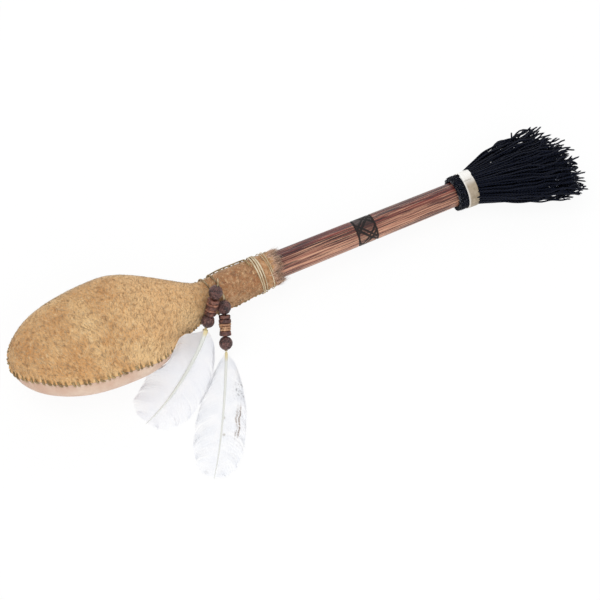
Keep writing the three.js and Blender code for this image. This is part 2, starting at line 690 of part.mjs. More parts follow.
// The band is one strip bent round the cords, its last part lapped over its start.
function bandGeometry() {
  const sweep = 360 + BAND_LAP;
  const rings = Array.from({ length: BAND_STEPS + 1 }, (_, k) => {
    const turn = (sweep * k) / BAND_STEPS;
    const raised = smoothstep(turn, 360 - BAND_LAP, 360 - BAND_LAP / 4) * (BAND_WALL + CLEARANCE);
    const inner = BAND_INNER_RADIUS + raised;
    const angle = degToRad(turn + BAND_LAP_ANGLE);
    const at = (x, radius) => new THREE.Vector3(x, radius * Math.cos(angle), radius * Math.sin(angle));
    const outer = inner + BAND_WALL;
    return [at(BAND_X, inner), at(bandEnd, inner), at(bandEnd, outer), at(BAND_X, outer)];
  });
  return loft(rings);
}

// A quarter of the tassel: a slice of the packed cord roots with its cords fanning out of it.
// Each cord keeps its place in the bundle, so no two cross.
function strandPath(radius, angle, fullLength) {
  const rim = BAND_INNER_RADIUS;
  const u = (radius / rim) * Math.cos(angle);
  const v = (radius / rim) * Math.sin(angle);
  const rootX = bandEnd - CLEARANCE - ROOT_SLICE;
  const length = fullLength * (1 - FAR_TRIM * smoothstep(u, -0.4, 1));
  const at = (s, reach) => {
    const fan = s ** FAN_OPENING;
    const halfWidth = blend(rim, FAN_HALF_WIDTH, fan);
    const halfHeight = blend(rim, FAN_HALF_HEIGHT, s);
    return new THREE.Vector3(
      rootX + ROOT_SLICE / 2 + reach * s,
      u * halfWidth + FAN_SIDE * fan,
      v * halfHeight + FAN_LIFT * s,
    );
  };
  const spread = Math.hypot(at(1, 0).y - at(0, 0).y, at(1, 0).z - at(0, 0).z);
  const reach = Math.sqrt(length ** 2 - spread ** 2);
  const points = Array.from({ length: STRAND_STEPS + 1 }, (_, k) => at(k / STRAND_STEPS, reach));
  return new THREE.CatmullRomCurve3(points);
}

function strandBundle(quarter) {
  const rim = BAND_INNER_RADIUS - CLEARANCE;
  const side = CLEARANCE / 2;
  const shape = new THREE.Shape();
  shape.moveTo(side, side);
  shape.lineTo(Math.sqrt(rim ** 2 - side ** 2), side);
  shape.absarc(0, 0, rim, Math.asin(side / rim), Math.acos(side / rim), false);
  shape.closePath();
  const turn = (quarter - 0.5) * (Math.PI / 2);
  const lay = new THREE.Matrix4().makeBasis(
    new THREE.Vector3(0, Math.cos(turn), Math.sin(turn)),
    new THREE.Vector3(0, -Math.sin(turn), Math.cos(turn)),
    new THREE.Vector3(1, 0, 0),
  );
  const cut = { depth: ROOT_SLICE, bevelEnabled: false, curveSegments: ROOT_STEPS };
  const slice = new THREE.ExtrudeGeometry(shape, cut);
  slice.applyMatrix4(lay).translate(bandEnd - CLEARANCE - ROOT_SLICE, 0, 0);
  let bundle = solidOf(slice);
  let cord = 0;
  STRAND_RINGS.forEach(([radius, count]) => {
    for (let k = 0; k < count; k += 1) {
      const angle = turn + (Math.PI / 2) * ((k + 0.5) / count);
      const length = STRAND_LENGTH * (1 + LENGTH_SPREAD * Math.sin(2.4 * cord + quarter));
      const strand = new THREE.ExtrudeGeometry(polygon(STRAND_RADIUS, STRAND_SIDES), {
        steps: STRAND_STEPS, bevelEnabled: false, extrudePath: strandPath(radius, angle, length),
      });
      bundle = bundle.add(solidOf(strand));
      cord += 1;
    }
  });
  return geometryOf(bundle);
}

addPiece(handle, 'tassel_cord_heads', cordHeadsGeometry(), colours.tasselCord);
addPiece(handle, 'tassel_band', bandGeometry(), colours.sinew);
['far', 'upper', 'near', 'lower'].forEach((name, quarter) => {
  addPiece(handle, `tassel_cords_${name}`, strandBundle(quarter), colours.tasselCord);
});

// Pebbles lie on the inside of the belly, spread so that each has its own way up to the roof.
function bellyInside(x, y) {
  const centre = hideCentre(x);
  const across = (y - centre.x) / hideHalfWidth(x, HIDE_WALL);
  const drop = hideHalfHeight(x, HIDE_WALL) * Math.sqrt(Math.max(0, 1 - across ** 2));
  return Math.max(centre.y - drop - CLEARANCE / 2, HIDE_WALL);
}

function pebbleHeight(x, y, radius) {
  let height = 0;
  for (let dx = -radius; dx <= radius; dx += radius / 4) {
    for (let dy = -radius; dy <= radius; dy += radius / 4) {
      const cap = Math.sqrt(Math.max(0, radius ** 2 - dx ** 2 - dy ** 2));
      height = Math.max(height, bellyInside(x + dx, y + dy) + cap);
    }
  }
  return height + PEBBLE_CLEARANCE;
}

for (let k = 0; k < PEBBLE_COUNT; k += 1) {
  const spread = Math.sqrt((k + 0.5) / PEBBLE_COUNT);
  const turn = k * Math.PI * (3 - Math.sqrt(5));
  const x = PEBBLE_FIELD_X + PEBBLE_FIELD.x * spread * Math.cos(turn);
  const y = HEAD_SIDE + PEBBLE_FIELD.y * spread * Math.sin(turn);
  const radius = PEBBLE_RADIUS * (1 + PEBBLE_SPREAD * Math.sin(2 * k));
  const name = `pebble_${String(k + 1).padStart(2, '0')}`;
  const pebble = addPiece(rattle, name, new THREE.IcosahedronGeometry(radius, 1), colours.stone);
  pebble.position.set(x, y, pebbleHeight(x, y, radius));
  pebble.rotation.set(k, 2 * k, 0);
}

export default rattle;
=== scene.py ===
"""A rattle: a sewn hide head on a palm-wood stick, with two bead and feather pendants and a corded tassel.
Shapes are worked out in millimetres in the part's own frame, and go into the meshes as metres."""
import math

import bmesh
import bpy
import numpy as np
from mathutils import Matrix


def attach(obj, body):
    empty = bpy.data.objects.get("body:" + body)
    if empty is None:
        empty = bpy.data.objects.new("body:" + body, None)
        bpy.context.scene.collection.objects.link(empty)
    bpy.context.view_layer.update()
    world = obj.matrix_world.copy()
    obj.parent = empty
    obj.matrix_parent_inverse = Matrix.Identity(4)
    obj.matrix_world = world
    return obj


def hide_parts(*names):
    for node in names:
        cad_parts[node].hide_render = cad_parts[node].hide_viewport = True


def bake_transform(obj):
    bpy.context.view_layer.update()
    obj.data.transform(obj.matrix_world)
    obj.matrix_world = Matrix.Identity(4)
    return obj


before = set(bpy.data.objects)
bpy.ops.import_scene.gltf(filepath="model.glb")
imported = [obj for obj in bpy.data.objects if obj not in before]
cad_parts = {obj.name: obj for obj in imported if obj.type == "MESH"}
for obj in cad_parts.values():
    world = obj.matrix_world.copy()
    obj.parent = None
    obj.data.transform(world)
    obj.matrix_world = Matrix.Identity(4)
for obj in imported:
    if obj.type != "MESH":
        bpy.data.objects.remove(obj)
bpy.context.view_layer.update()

# Camera, light and table. The rattle lies head first towards a long lens that looks steeply down on it.
# White studio walls light it from all round, with a broad panel overhead, one behind it and one in front.
scene = bpy.context.scene
scene.view_settings.view_transform = "Standard"

camera = bpy.data.objects.new("camera", bpy.data.cameras.new("camera"))
camera.data.lens = 144
camera.data.sensor_width = 36
camera.location = (-0.2910, -0.8688, 1.4331)
camera.rotation_euler = (math.radians(33.423), 0, math.radians(-26.711))
scene.collection.objects.link(camera)
scene.camera = camera


class Wire:
    """An output socket of a finish. Arithmetic on wires and numbers adds Math nodes."""

    def __init__(self, finish, socket):
        self.finish = finish
        self.socket = socket

    def worked(self, operation, first, second=0):
        """A Math node of that operation on wires or numbers."""
        return self.finish.node("Math", {"operation": operation}, {0: first, 1: second})

    def __add__(self, other):
        return self.worked("ADD", self, other)

    def __sub__(self, other):
        return self.worked("SUBTRACT", self, other)

    def __rsub__(self, other):
        return self.worked("SUBTRACT", other, self)

    def __mul__(self, other):
        return self.worked("MULTIPLY", self, other)

    def __or__(self, other):
        return self.worked("MAXIMUM", self, other)

    def __abs__(self):
        return self.worked("ABSOLUTE", self)

    __radd__ = __add__
    __rmul__ = __mul__

    def fraction(self):
        """What is over the whole number below, so a rising value turns into a saw-tooth wave."""
        return self.worked("FRACT", self)

    def ramp(self, low, high):
        """0 at low, 1 at high, and smooth between them."""
        sockets = {"Value": self, "From Min": low, "From Max": high}
        return self.finish.node("MapRange", {"interpolation_type": "SMOOTHSTEP"}, sockets)


class Finish:
    """A node material. Numbers that are the same all over sit on the shader's own sockets."""

    def __init__(self, name, shader="BsdfPrincipled", **constants):
        self.material = bpy.data.materials.new(name)
        self.material.use_nodes = True
        self.tree = self.material.node_tree
        self.tree.nodes.clear()
        self.shader = self.node(shader, {}, {k.replace("_", " "): v for k, v in constants.items()})
        self.output = self.node("OutputMaterial", {}, {"Surface": self.shader}, output=None)

    def node(self, kind, settings, sockets, output=0):
        """Adds one node: its settings first, then the values or links of its sockets."""
        node = self.tree.nodes.new("ShaderNode" + kind)
        for name, value in settings.items():
            setattr(node, name, value)
        for name, value in sockets.items():
            if isinstance(value, Wire):
                self.tree.links.new(value.socket, node.inputs[name])
            else:
                node.inputs[name].default_value = value
        return node if output is None else Wire(self, node.outputs[output])

    def feed(self, **wires):
        """Links wires to the shader's sockets, by the sockets' names."""
        for name, wire in wires.items():
            self.tree.links.new(wire.socket, self.shader.socket.node.inputs[name.replace("_", " ")])

    def shared(self, factor, second):
        """The shader mixed with a second one by that factor."""
        mixed = self.node("MixShader", {}, {0: factor, 1: self.shader, 2: second})
        self.tree.links.new(mixed.socket, self.output.inputs["Surface"])

    def place(self, stretch=(1, 1, 1), tilt=0):
        """The surface's place in the part, in metres, turned about Y by the tilt, then stretched by axis."""
        where = self.node("TexCoord", {}, {}, output="Object")
        level = self.node("Mapping", {}, {"Vector": where, "Rotation": (0, -tilt, 0)})
        return self.node("Mapping", {}, {"Vector": level, "Scale": stretch})

    def noise(self, scale=1, where=None, tilt=0, detail=4, roughness=0.55, distortion=0):
        """Noise over the part's frame or another place. Three scales stretch it along each axis."""
        stretch, scale = (scale, 1) if isinstance(scale, tuple) else ((1, 1, 1), scale)
        sockets = {"Vector": where or self.place(stretch, tilt), "Scale": scale, "Detail": detail,
                   "Roughness": roughness, "Distortion": distortion}
        return self.node("TexNoise", {}, sockets)

    def mix(self, factor, first, second):
        """The first colour, giving way to the second by the factor."""
        return self.node("Mix", {"data_type": "RGBA"}, {0: factor, 6: first, 7: second}, output=2)

    def toned(self, value, low, high, dark, light):
        """A colour that goes from dark where the value is low to light where it is high."""
        return self.mix(value.ramp(low, high), tint(*dark), tint(*light))

    def stains_and_painted_light(self, colour, *layers):
        """The colour under layers laid on in turn, each with its share at every place and its own colour:
        stains, and in some finishes painted light and painted shade.
        """
        for share, layer_colour in layers:
            colour = self.mix(share, colour, tint(*layer_colour))
        return colour

    def trait(self, name):
        """A number that the mesh holds at each of its points."""
        return self.node("Attribute", {"attribute_name": name}, {}, output="Fac")

    def lay(self, share):
        """A share of the piece's own UV map: X along it, Y round it."""
        grid = self.node("UVMap", {"uv_map": "lay"}, {})
        return self.node("SeparateXYZ", {}, {"Vector": grid}, output=share)

    def bump(self, height, depth):
        """Relief of that depth in metres, from a height of 0 to 1."""
        return self.node("Bump", {}, {"Height": height, "Distance": depth})


def tint(red, green, blue):
    """An sRGB colour of 0 to 255 as linear light."""
    return tuple(((c / 255 + 0.055) / 1.055) ** 2.4 for c in (red, green, blue)) + (1,)


TABLE_REACH = 12  # metres each way
table_white = Finish("table_white", shader="BsdfDiffuse", Color=tint(250, 250, 250))
seen, shine, through = (table_white.node("LightPath", {}, {}, output=f"Is {ray} Ray")
                        for ray in ("Camera", "Glossy", "Transmission"))
glow = table_white.node("Emission", {}, {"Color": (1, 1, 1, 1), "Strength": 1})
table_white.shared((seen | shine | through) * 0.92, glow)

table = bpy.data.meshes.new("table")
table_corners = [(x * TABLE_REACH, y * TABLE_REACH, 0) for x, y in ((-1, -1), (1, -1), (1, 1), (-1, 1))]
table.from_pydata(table_corners, [], [(0, 1, 2, 3)])
table.materials.append(table_white.material)
table = bpy.data.objects.new("table", table)
scene.collection.objects.link(table)

world = bpy.data.worlds.new("studio")
scene.world = world
world.use_nodes = True
air = world.node_tree.nodes["Background"]
air.inputs["Color"].default_value = (1, 1, 1, 1)
air.inputs["Strength"].default_value = 0.7


def add_panel(name, place, aim, size, power):
    """A square light panel of that size in metres, turned to face the aim."""
    panel = bpy.data.objects.new(name, bpy.data.lights.new(name, "AREA"))
    panel.data.size = size
    panel.data.energy = power
    panel.location = place
    line = np.subtract(aim, place)
    lean = math.atan2(math.hypot(line[0], line[1]), -line[2])
    panel.rotation_euler = (lean, 0, math.atan2(line[0], -line[1]) + math.pi)
    scene.collection.objects.link(panel)


add_panel("overhead_panel", (-0.35, 0.35, 1.5), (0.1, 0, 0), 1.1, 5.6)
add_panel("back_panel", (0.9, 1.1, 0.75), (0.1, 0, 0), 0.8, 4)
add_panel("front_panel", (-0.1, -1.3, 0.9), (0.05, 0, 0), 1.0, 8.5)


# Stick. One straight palm-wood rod, scraped round and varnished, with long dark fibres in it, cut thinner
# where the neck sleeves it. Two ring lines are burnt into it past the middle, with crossed strokes between.
AXIS_HEIGHT, TABLE_GAP = 19.8, 0.1
BAND_START, BAND_WIDTH, BAND_OUTSIDE = 277.7, 8.7, 13.6
SLOPE = (AXIS_HEIGHT - BAND_OUTSIDE - TABLE_GAP) / (BAND_START + BAND_WIDTH / 2)
TILT = math.atan(SLOPE)
STICK_START, STICK_END, STICK_THICK, STICK_THIN = 91.0, 283.4, 10.3, 9.0
SEAT_END, SEAT_RADIUS, END_ROUND = 128.5, 10.2, 1.2
RING_LINES, GROOVE_DEPTH, GROOVE_WIDTH = (189.8, 204.4), 0.35, 0.55
SCRAPED = 0.09
STROKES_ROUND = 4
NEAR_TURN = math.radians(190)


def in_handle(points):
    """The handle's own line is tilted down to the tassel: a turn about Y, then a lift to the head's height."""
    x, y, z = np.moveaxis(np.asarray(points, float), -1, 0)
    level, steep = math.cos(TILT), math.sin(TILT)
    return np.stack((x * level + z * steep, y, AXIS_HEIGHT - x * steep + z * level), -1)


def round_axis(x, radius, turn):
    """Points at x along an axis and at the radius from it, turned from +Y towards +Z."""
    return np.stack(np.broadcast_arrays(x, radius * np.cos(turn), radius * np.sin(turn)), -1)


def put_mesh(name, points, faces, finish, uv=None, traits=None, sharp=50):
    """A mesh of millimetre points and of faces with the same number of corners, turned outwards as a whole
    by the sign of its volume, its doubled points merged so that seams and poles are closed."""
    points = np.asarray(points, float).reshape(-1, 3)
    corners = points[faces]
    middles = corners.mean(1, keepdims=True)
    spread = np.einsum("nij,nij->", corners, np.cross(np.roll(corners, -1, 1), middles))
    if spread < 0:
        faces = faces[:, ::-1]
        uv = None if uv is None else uv[:, ::-1]
    mesh = bpy.data.meshes.new(name)
    mesh.from_pydata(points / 1000, [], faces)
    if uv is not None:
        mesh.uv_layers.new(name="lay").data.foreach_set("uv", np.asarray(uv, np.float32).ravel())
    for trait, values in (traits or {}).items():
        layer = mesh.attributes.new(trait, "FLOAT", "POINT")
        layer.data.foreach_set("value", np.asarray(values, np.float32).ravel())
    work = bmesh.new()
    work.from_mesh(mesh)
    bmesh.ops.remove_doubles(work, verts=work.verts, dist=2e-7)
    bmesh.ops.dissolve_degenerate(work, edges=work.edges, dist=1e-7)
    work.to_mesh(mesh)
    work.free()
    mesh.shade_smooth()
    mesh.set_sharp_from_angle(angle=math.radians(sharp))
    mesh.materials.append(finish.material)
    piece = bpy.data.objects.new(name, mesh)
    scene.collection.objects.link(piece)
    return piece


def put_skins(name, rings, finish, traits=None, looped=False, sharp=50):
    """Walls through rings of points, given as skins x stations x an even count round each ring. Neighbouring
    stations are joined by quads, and the two end rings are closed across, or joined where the skin is looped.
    The UV map holds the share of the way along and the share of the way round."""
    skins, stations, count, _ = rings.shape
    number = np.arange(skins * stations * count).reshape(skins, stations, count)
    along = np.concatenate((number, number[:, :1]), 1) if looped else number
    around = np.concatenate((along, along[:, :, :1]), 2)
    wall = np.stack((around[:, :-1, :-1], around[:, :-1, 1:], around[:, 1:, 1:], around[:, 1:, :-1]), -1)
    far, turn = np.meshgrid(np.linspace(0, 1, along.shape[1]), np.linspace(0, 1, count + 1), indexing="ij")
    spot = np.stack((far, turn), -1)
    patch = np.stack((spot[:-1, :-1], spot[:-1, 1:], spot[1:, 1:], spot[1:, :-1]), -2)
    faces = [wall.reshape(-1, 4)]
    uv = [np.broadcast_to(patch, (skins,) + patch.shape).reshape(-1, 4, 2)]
    if not looped:
        half = count // 2
        for ring, end in ((number[:, 0, ::-1], 0.0), (number[:, -1], 1.0)):
            back = ring[:, ::-1]
            lid = np.stack((ring[:, : half - 1], ring[:, 1:half], back[:, 1:half], back[:, : half - 1]), -1)
            faces.append(lid.reshape(-1, 4))
            uv.append(np.full(lid.shape[:2] + (4, 2), end).reshape(-1, 4, 2))
    return put_mesh(name, rings, np.concatenate(faces), finish, np.concatenate(uv), traits, sharp)


END_STEPS = END_ROUND * np.linspace(0, 1, 6)
stick_x = np.unique(np.concatenate((
    STICK_START + END_STEPS, np.arange(93, 282, 1.5), SEAT_END + END_STEPS,
    np.ravel([np.linspace(r - 1, r + 1, 13) for r in RING_LINES]), STICK_END - END_STEPS)))
stick_turn = np.linspace(0, 2 * np.pi, 72, endpoint=False)
stick_radius = STICK_THICK + (STICK_THIN - STICK_THICK) * (stick_x - STICK_START) / (STICK_END - STICK_START)
on_seat = np.clip((SEAT_END + END_ROUND - stick_x) / END_ROUND, 0, 1)
stick_radius = stick_radius + (SEAT_RADIUS - stick_radius) * on_seat
from_end = np.minimum(stick_x - STICK_START, STICK_END - stick_x)
stick_edge = END_ROUND - np.sqrt(np.maximum(0, END_ROUND ** 2 - np.maximum(0, END_ROUND - from_end) ** 2))
ring_groove = sum(GROOVE_DEPTH * np.exp(-((stick_x - r) / GROOVE_WIDTH) ** 2) for r in RING_LINES)
stick_way = stick_x[:, None]
flats = np.sin(5 * stick_turn + 0.02 * stick_way) * np.cos(3 * stick_turn + 0.011 * stick_way)
stick_size = (stick_radius - stick_edge - ring_groove)[:, None] - SCRAPED * (1 + flats)
stick_rings = round_axis(stick_way, stick_size, stick_turn)
near_side = np.broadcast_to(0.5 + 0.5 * np.cos(stick_turn - NEAR_TURN), stick_size.shape)

palm_wood = Finish("palm_wood", Specular_IOR_Level=0.35, Coat_Roughness=0.16)
fibres = palm_wood.noise((10, 1050, 1050), tilt=TILT, roughness=0.66)
pale_fibres = palm_wood.noise((16, 1900, 1900), tilt=TILT, detail=2)
dark_fibres = palm_wood.noise((13, 1500, 1500), tilt=TILT * 0.4, detail=2)
wander = palm_wood.noise(420, detail=3) - 0.5
near, way, turn_share = palm_wood.trait("near"), palm_wood.trait("way"), palm_wood.lay("Y")
row = (way - RING_LINES[0]) * (1 / (RING_LINES[1] - RING_LINES[0]))
within = row.ramp(-0.06, 0.02) * row.ramp(1.06, 0.98)


def stroke(phase):
    """A burnt line where a saw-tooth wave is near its middle, and a second one close beside it."""
    lines = [(phase + shift).fraction() - 0.5 for shift in (0, 0.24)]
    return abs(lines[0]).ramp(0.11, 0.06) | abs(lines[1]).ramp(0.095, 0.05)


slant = row * 0.95 + wander * 0.07
slants = stroke(turn_share * STROKES_ROUND + slant + 3) | stroke(turn_share * STROKES_ROUND - slant + 3.3)
rings_burnt = [abs(way - r + wander * 0.7).ramp(1.05, 0.5) for r in RING_LINES]
burn = (slants * within) | rings_burnt[0] | rings_burnt[1]
shaded_top_wood = palm_wood.toned(fibres, 0.44, 0.57, (52, 14, 17), (118, 46, 39))
lit_near_wood = palm_wood.toned(fibres, 0.43, 0.57, (98, 48, 40), (192, 138, 112))
# Painted shade and painted light: the wood is a darker, redder copy over the top and a lighter tan copy
# towards the near side, and its pale fibres are painted stronger on the near side.
wood_colour = palm_wood.stains_and_painted_light(
    palm_wood.mix(near.ramp(0.45, 0.95), shaded_top_wood, lit_near_wood),
    (pale_fibres.ramp(0.54, 0.59) * (0.4 + near * 0.45), (212, 164, 134)),
    (dark_fibres.ramp(0.46, 0.42) * 0.95, (42, 17, 18)),
    (within * (0.4 + 0.55 * near.ramp(0.8, 0.35)), (42, 22, 20)),
    (burn * 0.95, (17, 10, 10)))
palm_wood.feed(Base_Color=wood_colour,
               Roughness=0.36 + fibres * 0.18 + burn * 0.25, Coat_Weight=0.24 - burn * 0.2,
               Normal=palm_wood.bump(fibres * 0.6 + pale_fibres * 0.5 - burn * 0.6, 0.0004))

stick_traits = {"way": stick_rings[..., 0], "near": near_side}
stick = put_skins("stick", in_handle(stick_rings)[None], palm_wood, stick_traits)
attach(stick, "rattle")
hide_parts("handle_stick")


# Pebbles. A dozen small river stones lie loose on the belly's inside and strike the hide when it is shaken.
# They are water-worn and dull, with dark mineral specks.
def clouded(name, roughness, cloud, dark, light, grain, layer_colour, depth):
    """A dull matter: clouds of a tone from dark to light, with a finer grain that stains it and is its relief.
    The cloud is a scale and a range, the grain a scale, a detail, a range and the stain's share."""
    look = Finish(name, Roughness=roughness)
    cloud_scale, cloud_low, cloud_high = cloud
    scale, detail, low, high, share = grain
    fine = look.noise(scale, detail=detail)
    colour = look.toned(look.noise(cloud_scale, detail=2), cloud_low, cloud_high, dark, light)
    colour = look.stains_and_painted_light(colour, (fine.ramp(low, high) * share, layer_colour))
    look.feed(Base_Color=colour, Normal=look.bump(fine, depth))
    return look


river_stone = clouded("river_stone", 0.6, (160, 0.3, 0.7), (112, 104, 96), (158, 150, 138),
                      (900, 5, 0.58, 0.68, 1), (70, 66, 62), 0.0002)
for number in range(1, 13):
    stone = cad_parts[f"pebble_{number:02d}"]
    stone.data.materials.clear()
    stone.data.materials.append(river_stone.material)


# Hides. Two pieces of hide were sewn wet over a clay core and dried hard: the upper one keeps its short hair,
# the lower one is scraped bare. Both run on as a loose sleeve over the stick, torn off unevenly at its end.
# Whipping draws their edges up into a low ridge that puckers between the stitches.
STITCH_PITCH, HIDE_WALL, PRESSED = 4.1, 0.9, 0.15
TIP_REACH, WAIST_X, SEAT_X, NECK_END = 77.2, 69.5, 89.0, 127.0
HEAD_WIDE, HEAD_HIGH, HEAD_MIDDLE = 42.0, 26.0, 25.15
WAIST_WIDE, WAIST_HIGH, WAIST_SIDE = 12.7, 13.2, -3.7
SLEEVE_WIDE, SLEEVE_TAPER, SLEEVE_SAG, SAG_TURN = 13.8, 1.9, 2.4, math.radians(210)
TIP_BLUNT, SIDE_FULL, BACK_FULL = 2.4, 1.13, 3.1
FAR_RISE, FAR_TURN, NEAR_RISE, NEAR_DROP = 0.5, 26, 7.9, -22
NOTCH_X, NOTCH_DEEP, NOTCH_LONG = 38, 3.2, 9
HIDE_ROWS, UPPER_FACETS, LOWER_FACETS = 460, 90, 70


def eased(t):
    """Half a cosine wave that rises from 0 to 1."""
    return 0.5 - 0.5 * np.cos(np.pi * np.clip(t, 0, 1))


def smooth(x, low, high):
    """0 at low, 1 at high, and a cubic between them that starts and ends level."""
    t = np.clip((x - low) / (high - low), 0, 1)
    return t * t * (3 - 2 * t)


def axis_height(x):
    """The stick's line, which falls evenly from its height at the head."""
    return AXIS_HEIGHT - SLOPE * x


def along_neck(x):
    """The share of the way along the sleeve, from its seat to its end."""
    return np.clip((x - SEAT_X) / (NECK_END - SEAT_X), 0, 1)


def hide_half(x, widest, waist, fullness, inset):
    """Half a side of the hide's section: a blunt round to the tip, then eased to the waist and the sleeve."""
    to_tip = np.abs(np.minimum(x, 0) / (TIP_REACH - inset)) ** TIP_BLUNT
    tip = (widest - inset) * np.sqrt(np.maximum(0, 1 - to_tip))
    shoulder = widest + (waist - widest) * eased((np.clip(x, 0, WAIST_X) / WAIST_X) ** fullness) - inset
    sleeve = SLEEVE_WIDE - SLEEVE_TAPER * along_neck(x)
    neck = waist + (sleeve - waist) * eased((x - WAIST_X) / (SEAT_X - WAIST_X)) - inset
    return np.where(x < 0, tip, np.where(x < WAIST_X, shoulder, neck))


def half_width(x, inset):
    """Half the hide's width at x, sunk by the inset."""
    return hide_half(x, HEAD_WIDE, WAIST_WIDE, SIDE_FULL, inset)


def half_height(x, inset):
    """Half the hide's height at x, sunk by the inset."""
    return hide_half(x, HEAD_HIGH, WAIST_HIGH, BACK_FULL, inset)


def hide_point(x, angle, inset):
    """A point of the hide's section at x, at an angle from +Y towards +Z, sunk by the inset. The sections'
    middle runs from the head's side to the waist, and sags from the stick's line along the sleeve."""
    x, angle = np.broadcast_arrays(np.asarray(x, float), np.asarray(angle, float))
    to_waist, to_sleeve = smooth(x, 0, WAIST_X), smooth(x, WAIST_X, SEAT_X)
    sag = (SLEEVE_SAG - SLEEVE_TAPER * along_neck(x)) * to_sleeve
    head_side = -1.5 - 1.5 * smooth(x, -TIP_REACH, -20)
    side = (head_side + (WAIST_SIDE - head_side) * to_waist) * (1 - to_sleeve) + sag * math.cos(SAG_TURN)
    height = HEAD_MIDDLE + (axis_height(x) - HEAD_MIDDLE) * to_waist + sag * math.sin(SAG_TURN)
    return np.stack((x, side + half_width(x, inset) * np.cos(angle),
                     height + half_height(x, inset) * np.sin(angle)), -1)


def seam_over(x, rise, on_neck):
    """The seam's angle over the level: a set rise on the head, turned to its place on the neck."""
    height = half_height(np.minimum(x, 0), 0)
    on_head = np.arcsin(np.minimum(rise / np.maximum(height, rise), 0.5))
    return on_head + (math.radians(on_neck) - on_head) * smooth(x, -10, 75)


def far_seam(x):
    """The far seam's angle from +Y, over the level."""
    return seam_over(x, FAR_RISE, FAR_TURN)


def near_seam(x):
    """The near seam's angle from +Y: half a turn, less its own angle over the level."""
    return np.pi - seam_over(x, NEAR_RISE, NEAR_DROP)


def station(q, inset):
    """From -1 at the tip to 0 at the widest part by a quarter wave, then millimetres along X."""
    return np.where(q < 0, -(TIP_REACH - inset) * np.cos((np.minimum(q, 0) + 1) * np.pi / 2), q)


def unit(vectors):
    """Vectors divided by their lengths."""
    return vectors / np.maximum(np.linalg.norm(vectors, axis=-1, keepdims=True), 1e-9)


def way_along(points):
    """The way from a line's first point to each of its points."""
    return np.concatenate(([0], np.cumsum(np.linalg.norm(np.diff(points, axis=0), axis=1))))


seam_q = np.concatenate((np.linspace(-1, 0, 1500, endpoint=False), np.linspace(0, NECK_END, 1500)))
seam_x = station(seam_q, 0)
seam_way = way_along(hide_point(seam_x, near_seam(seam_x), 0))
row_way = np.linspace(0, seam_way[-1], HIDE_ROWS)
row_q = np.interp(row_way, seam_way, seam_q)

chance = np.random.default_rng(7)
lattice = chance.random((24, 24, 24))


def lumps(points, size):
    """Smooth noise from 0 to 1 with lumps of that size: eight lattice corners, mixed by distance."""
    place = points / size
    cell = np.floor(place).astype(int)
    part = place - cell
    part = part * part * (3 - 2 * part)
    total = 0
    for corner in np.ndindex(2, 2, 2):
        share = np.prod(np.where(np.array(corner) == 1, part, 1 - part), -1)
        x, y, z = np.moveaxis((cell + corner) % 24, -1, 0)
        total = total + share * lattice[x, y, z]
    return total


def torn(x, angle):
    """How far the sleeve's end is torn back: little on the far side and more on the near one, raggedly."""
    rag = 2.2 * np.sin(5 * angle + 1) + 1.6 * np.sin(11 * angle) + 1.2 * np.sin(23 * angle + 2)
    depth = 2.6 + 2.4 * smooth(-np.cos(angle), -0.2, 0.9) + 0.6 * rag
    return np.clip(depth, 0.2, 8) * smooth(x, 108, NECK_END)


def hide_sheet(upper, facets, inset):
    """Rows of a hide along its length, each from seam to seam round its section, closer by the seams."""
    x = station(row_q, inset)[:, None]
    start, end = (far_seam(x), near_seam(x)) if upper else (near_seam(x), 2 * np.pi + far_seam(x))
    t = np.linspace(0, 1, facets + 1)
    angle = start + (end - start) * (0.45 * t + 0.55 * eased(t))
    sheet = hide_point(x - torn(x, angle), angle, inset)
    sheet[..., 2] = np.maximum(sheet[..., 2] + (PRESSED if upper else -PRESSED), inset + 0.01)
    return sheet


def stitch_count(way):
    """Stitches up to a way along the seam, not quite evenly spaced."""
    return way / STITCH_PITCH + 0.17 * np.sin(0.83 * way) + 0.1 * np.sin(0.31 * way + 1)


def notch_depth(x):
    """A bell curve along X, deepest at the notch."""
    return NOTCH_DEEP * np.exp(-((x - NOTCH_X) / NOTCH_LONG) ** 2)


def hide_face(upper, facets):
    """The outer face: its edges stand up in a ridge, pulled in at each stitch and bulged between, with shallow
    dents and one notch at the near side before the waist. Gives its points, outward directions, the distance
    from the nearer edge, and how close each point is to a stitch, which sets the painted shade where the edge
    is pulled in."""
    points = hide_sheet(upper, facets, 0)
    out = unit(np.cross(np.gradient(points, axis=1), np.gradient(points, axis=0)))
    out[0] = (-1, 0, 0)
    steps = np.linalg.norm(np.diff(points, axis=1), axis=2)
    across = np.concatenate((np.zeros((HIDE_ROWS, 1)), np.cumsum(steps, 1)), 1)
    from_near = across[:, -1:] - across if upper else across
    edge = np.minimum(across, across[:, -1:] - across)
    x = points[..., 0]
    wave = 0.5 + 0.5 * np.cos(2 * np.pi * (stitch_count(row_way) - 0.75))[:, None]
    free = (0.3 + 0.7 * smooth(x, 78, 60)) * (1 - 0.65 * smooth(x, -72, -60) * (from_near > edge))
    pucker = np.exp(-edge / 2.6) * (0.9 * wave - 0.55)
    ridge = np.exp(-(edge / 1.3) ** 2) * (0.45 + 0.4 * wave)
    notch = notch_depth(x) * np.exp(-from_near / 6)
    dents = 0.4 * (lumps(points + 200, 21) - 0.8) * smooth(edge, 1, 7) * free
    points = points + out * ((pucker + ridge) * free + dents - notch)[..., None]
    points[..., 2] = np.maximum(points[..., 2], 0.01)
    # Painted shade: darker close to the edge at each stitch, where the hide is pulled in.
    stitched = np.exp(-((edge - 1.4) / 1.3) ** 2) * (1 - wave) ** 1.5
    return points, out, edge, stitched


def hide_shell(face, upper, facets):
    """The face and its inner side, a hide's thickness in, joined round the sewn edges and the neck's end."""
    return np.concatenate((face, hide_sheet(upper, facets, HIDE_WALL)[:, ::-1]), 1)


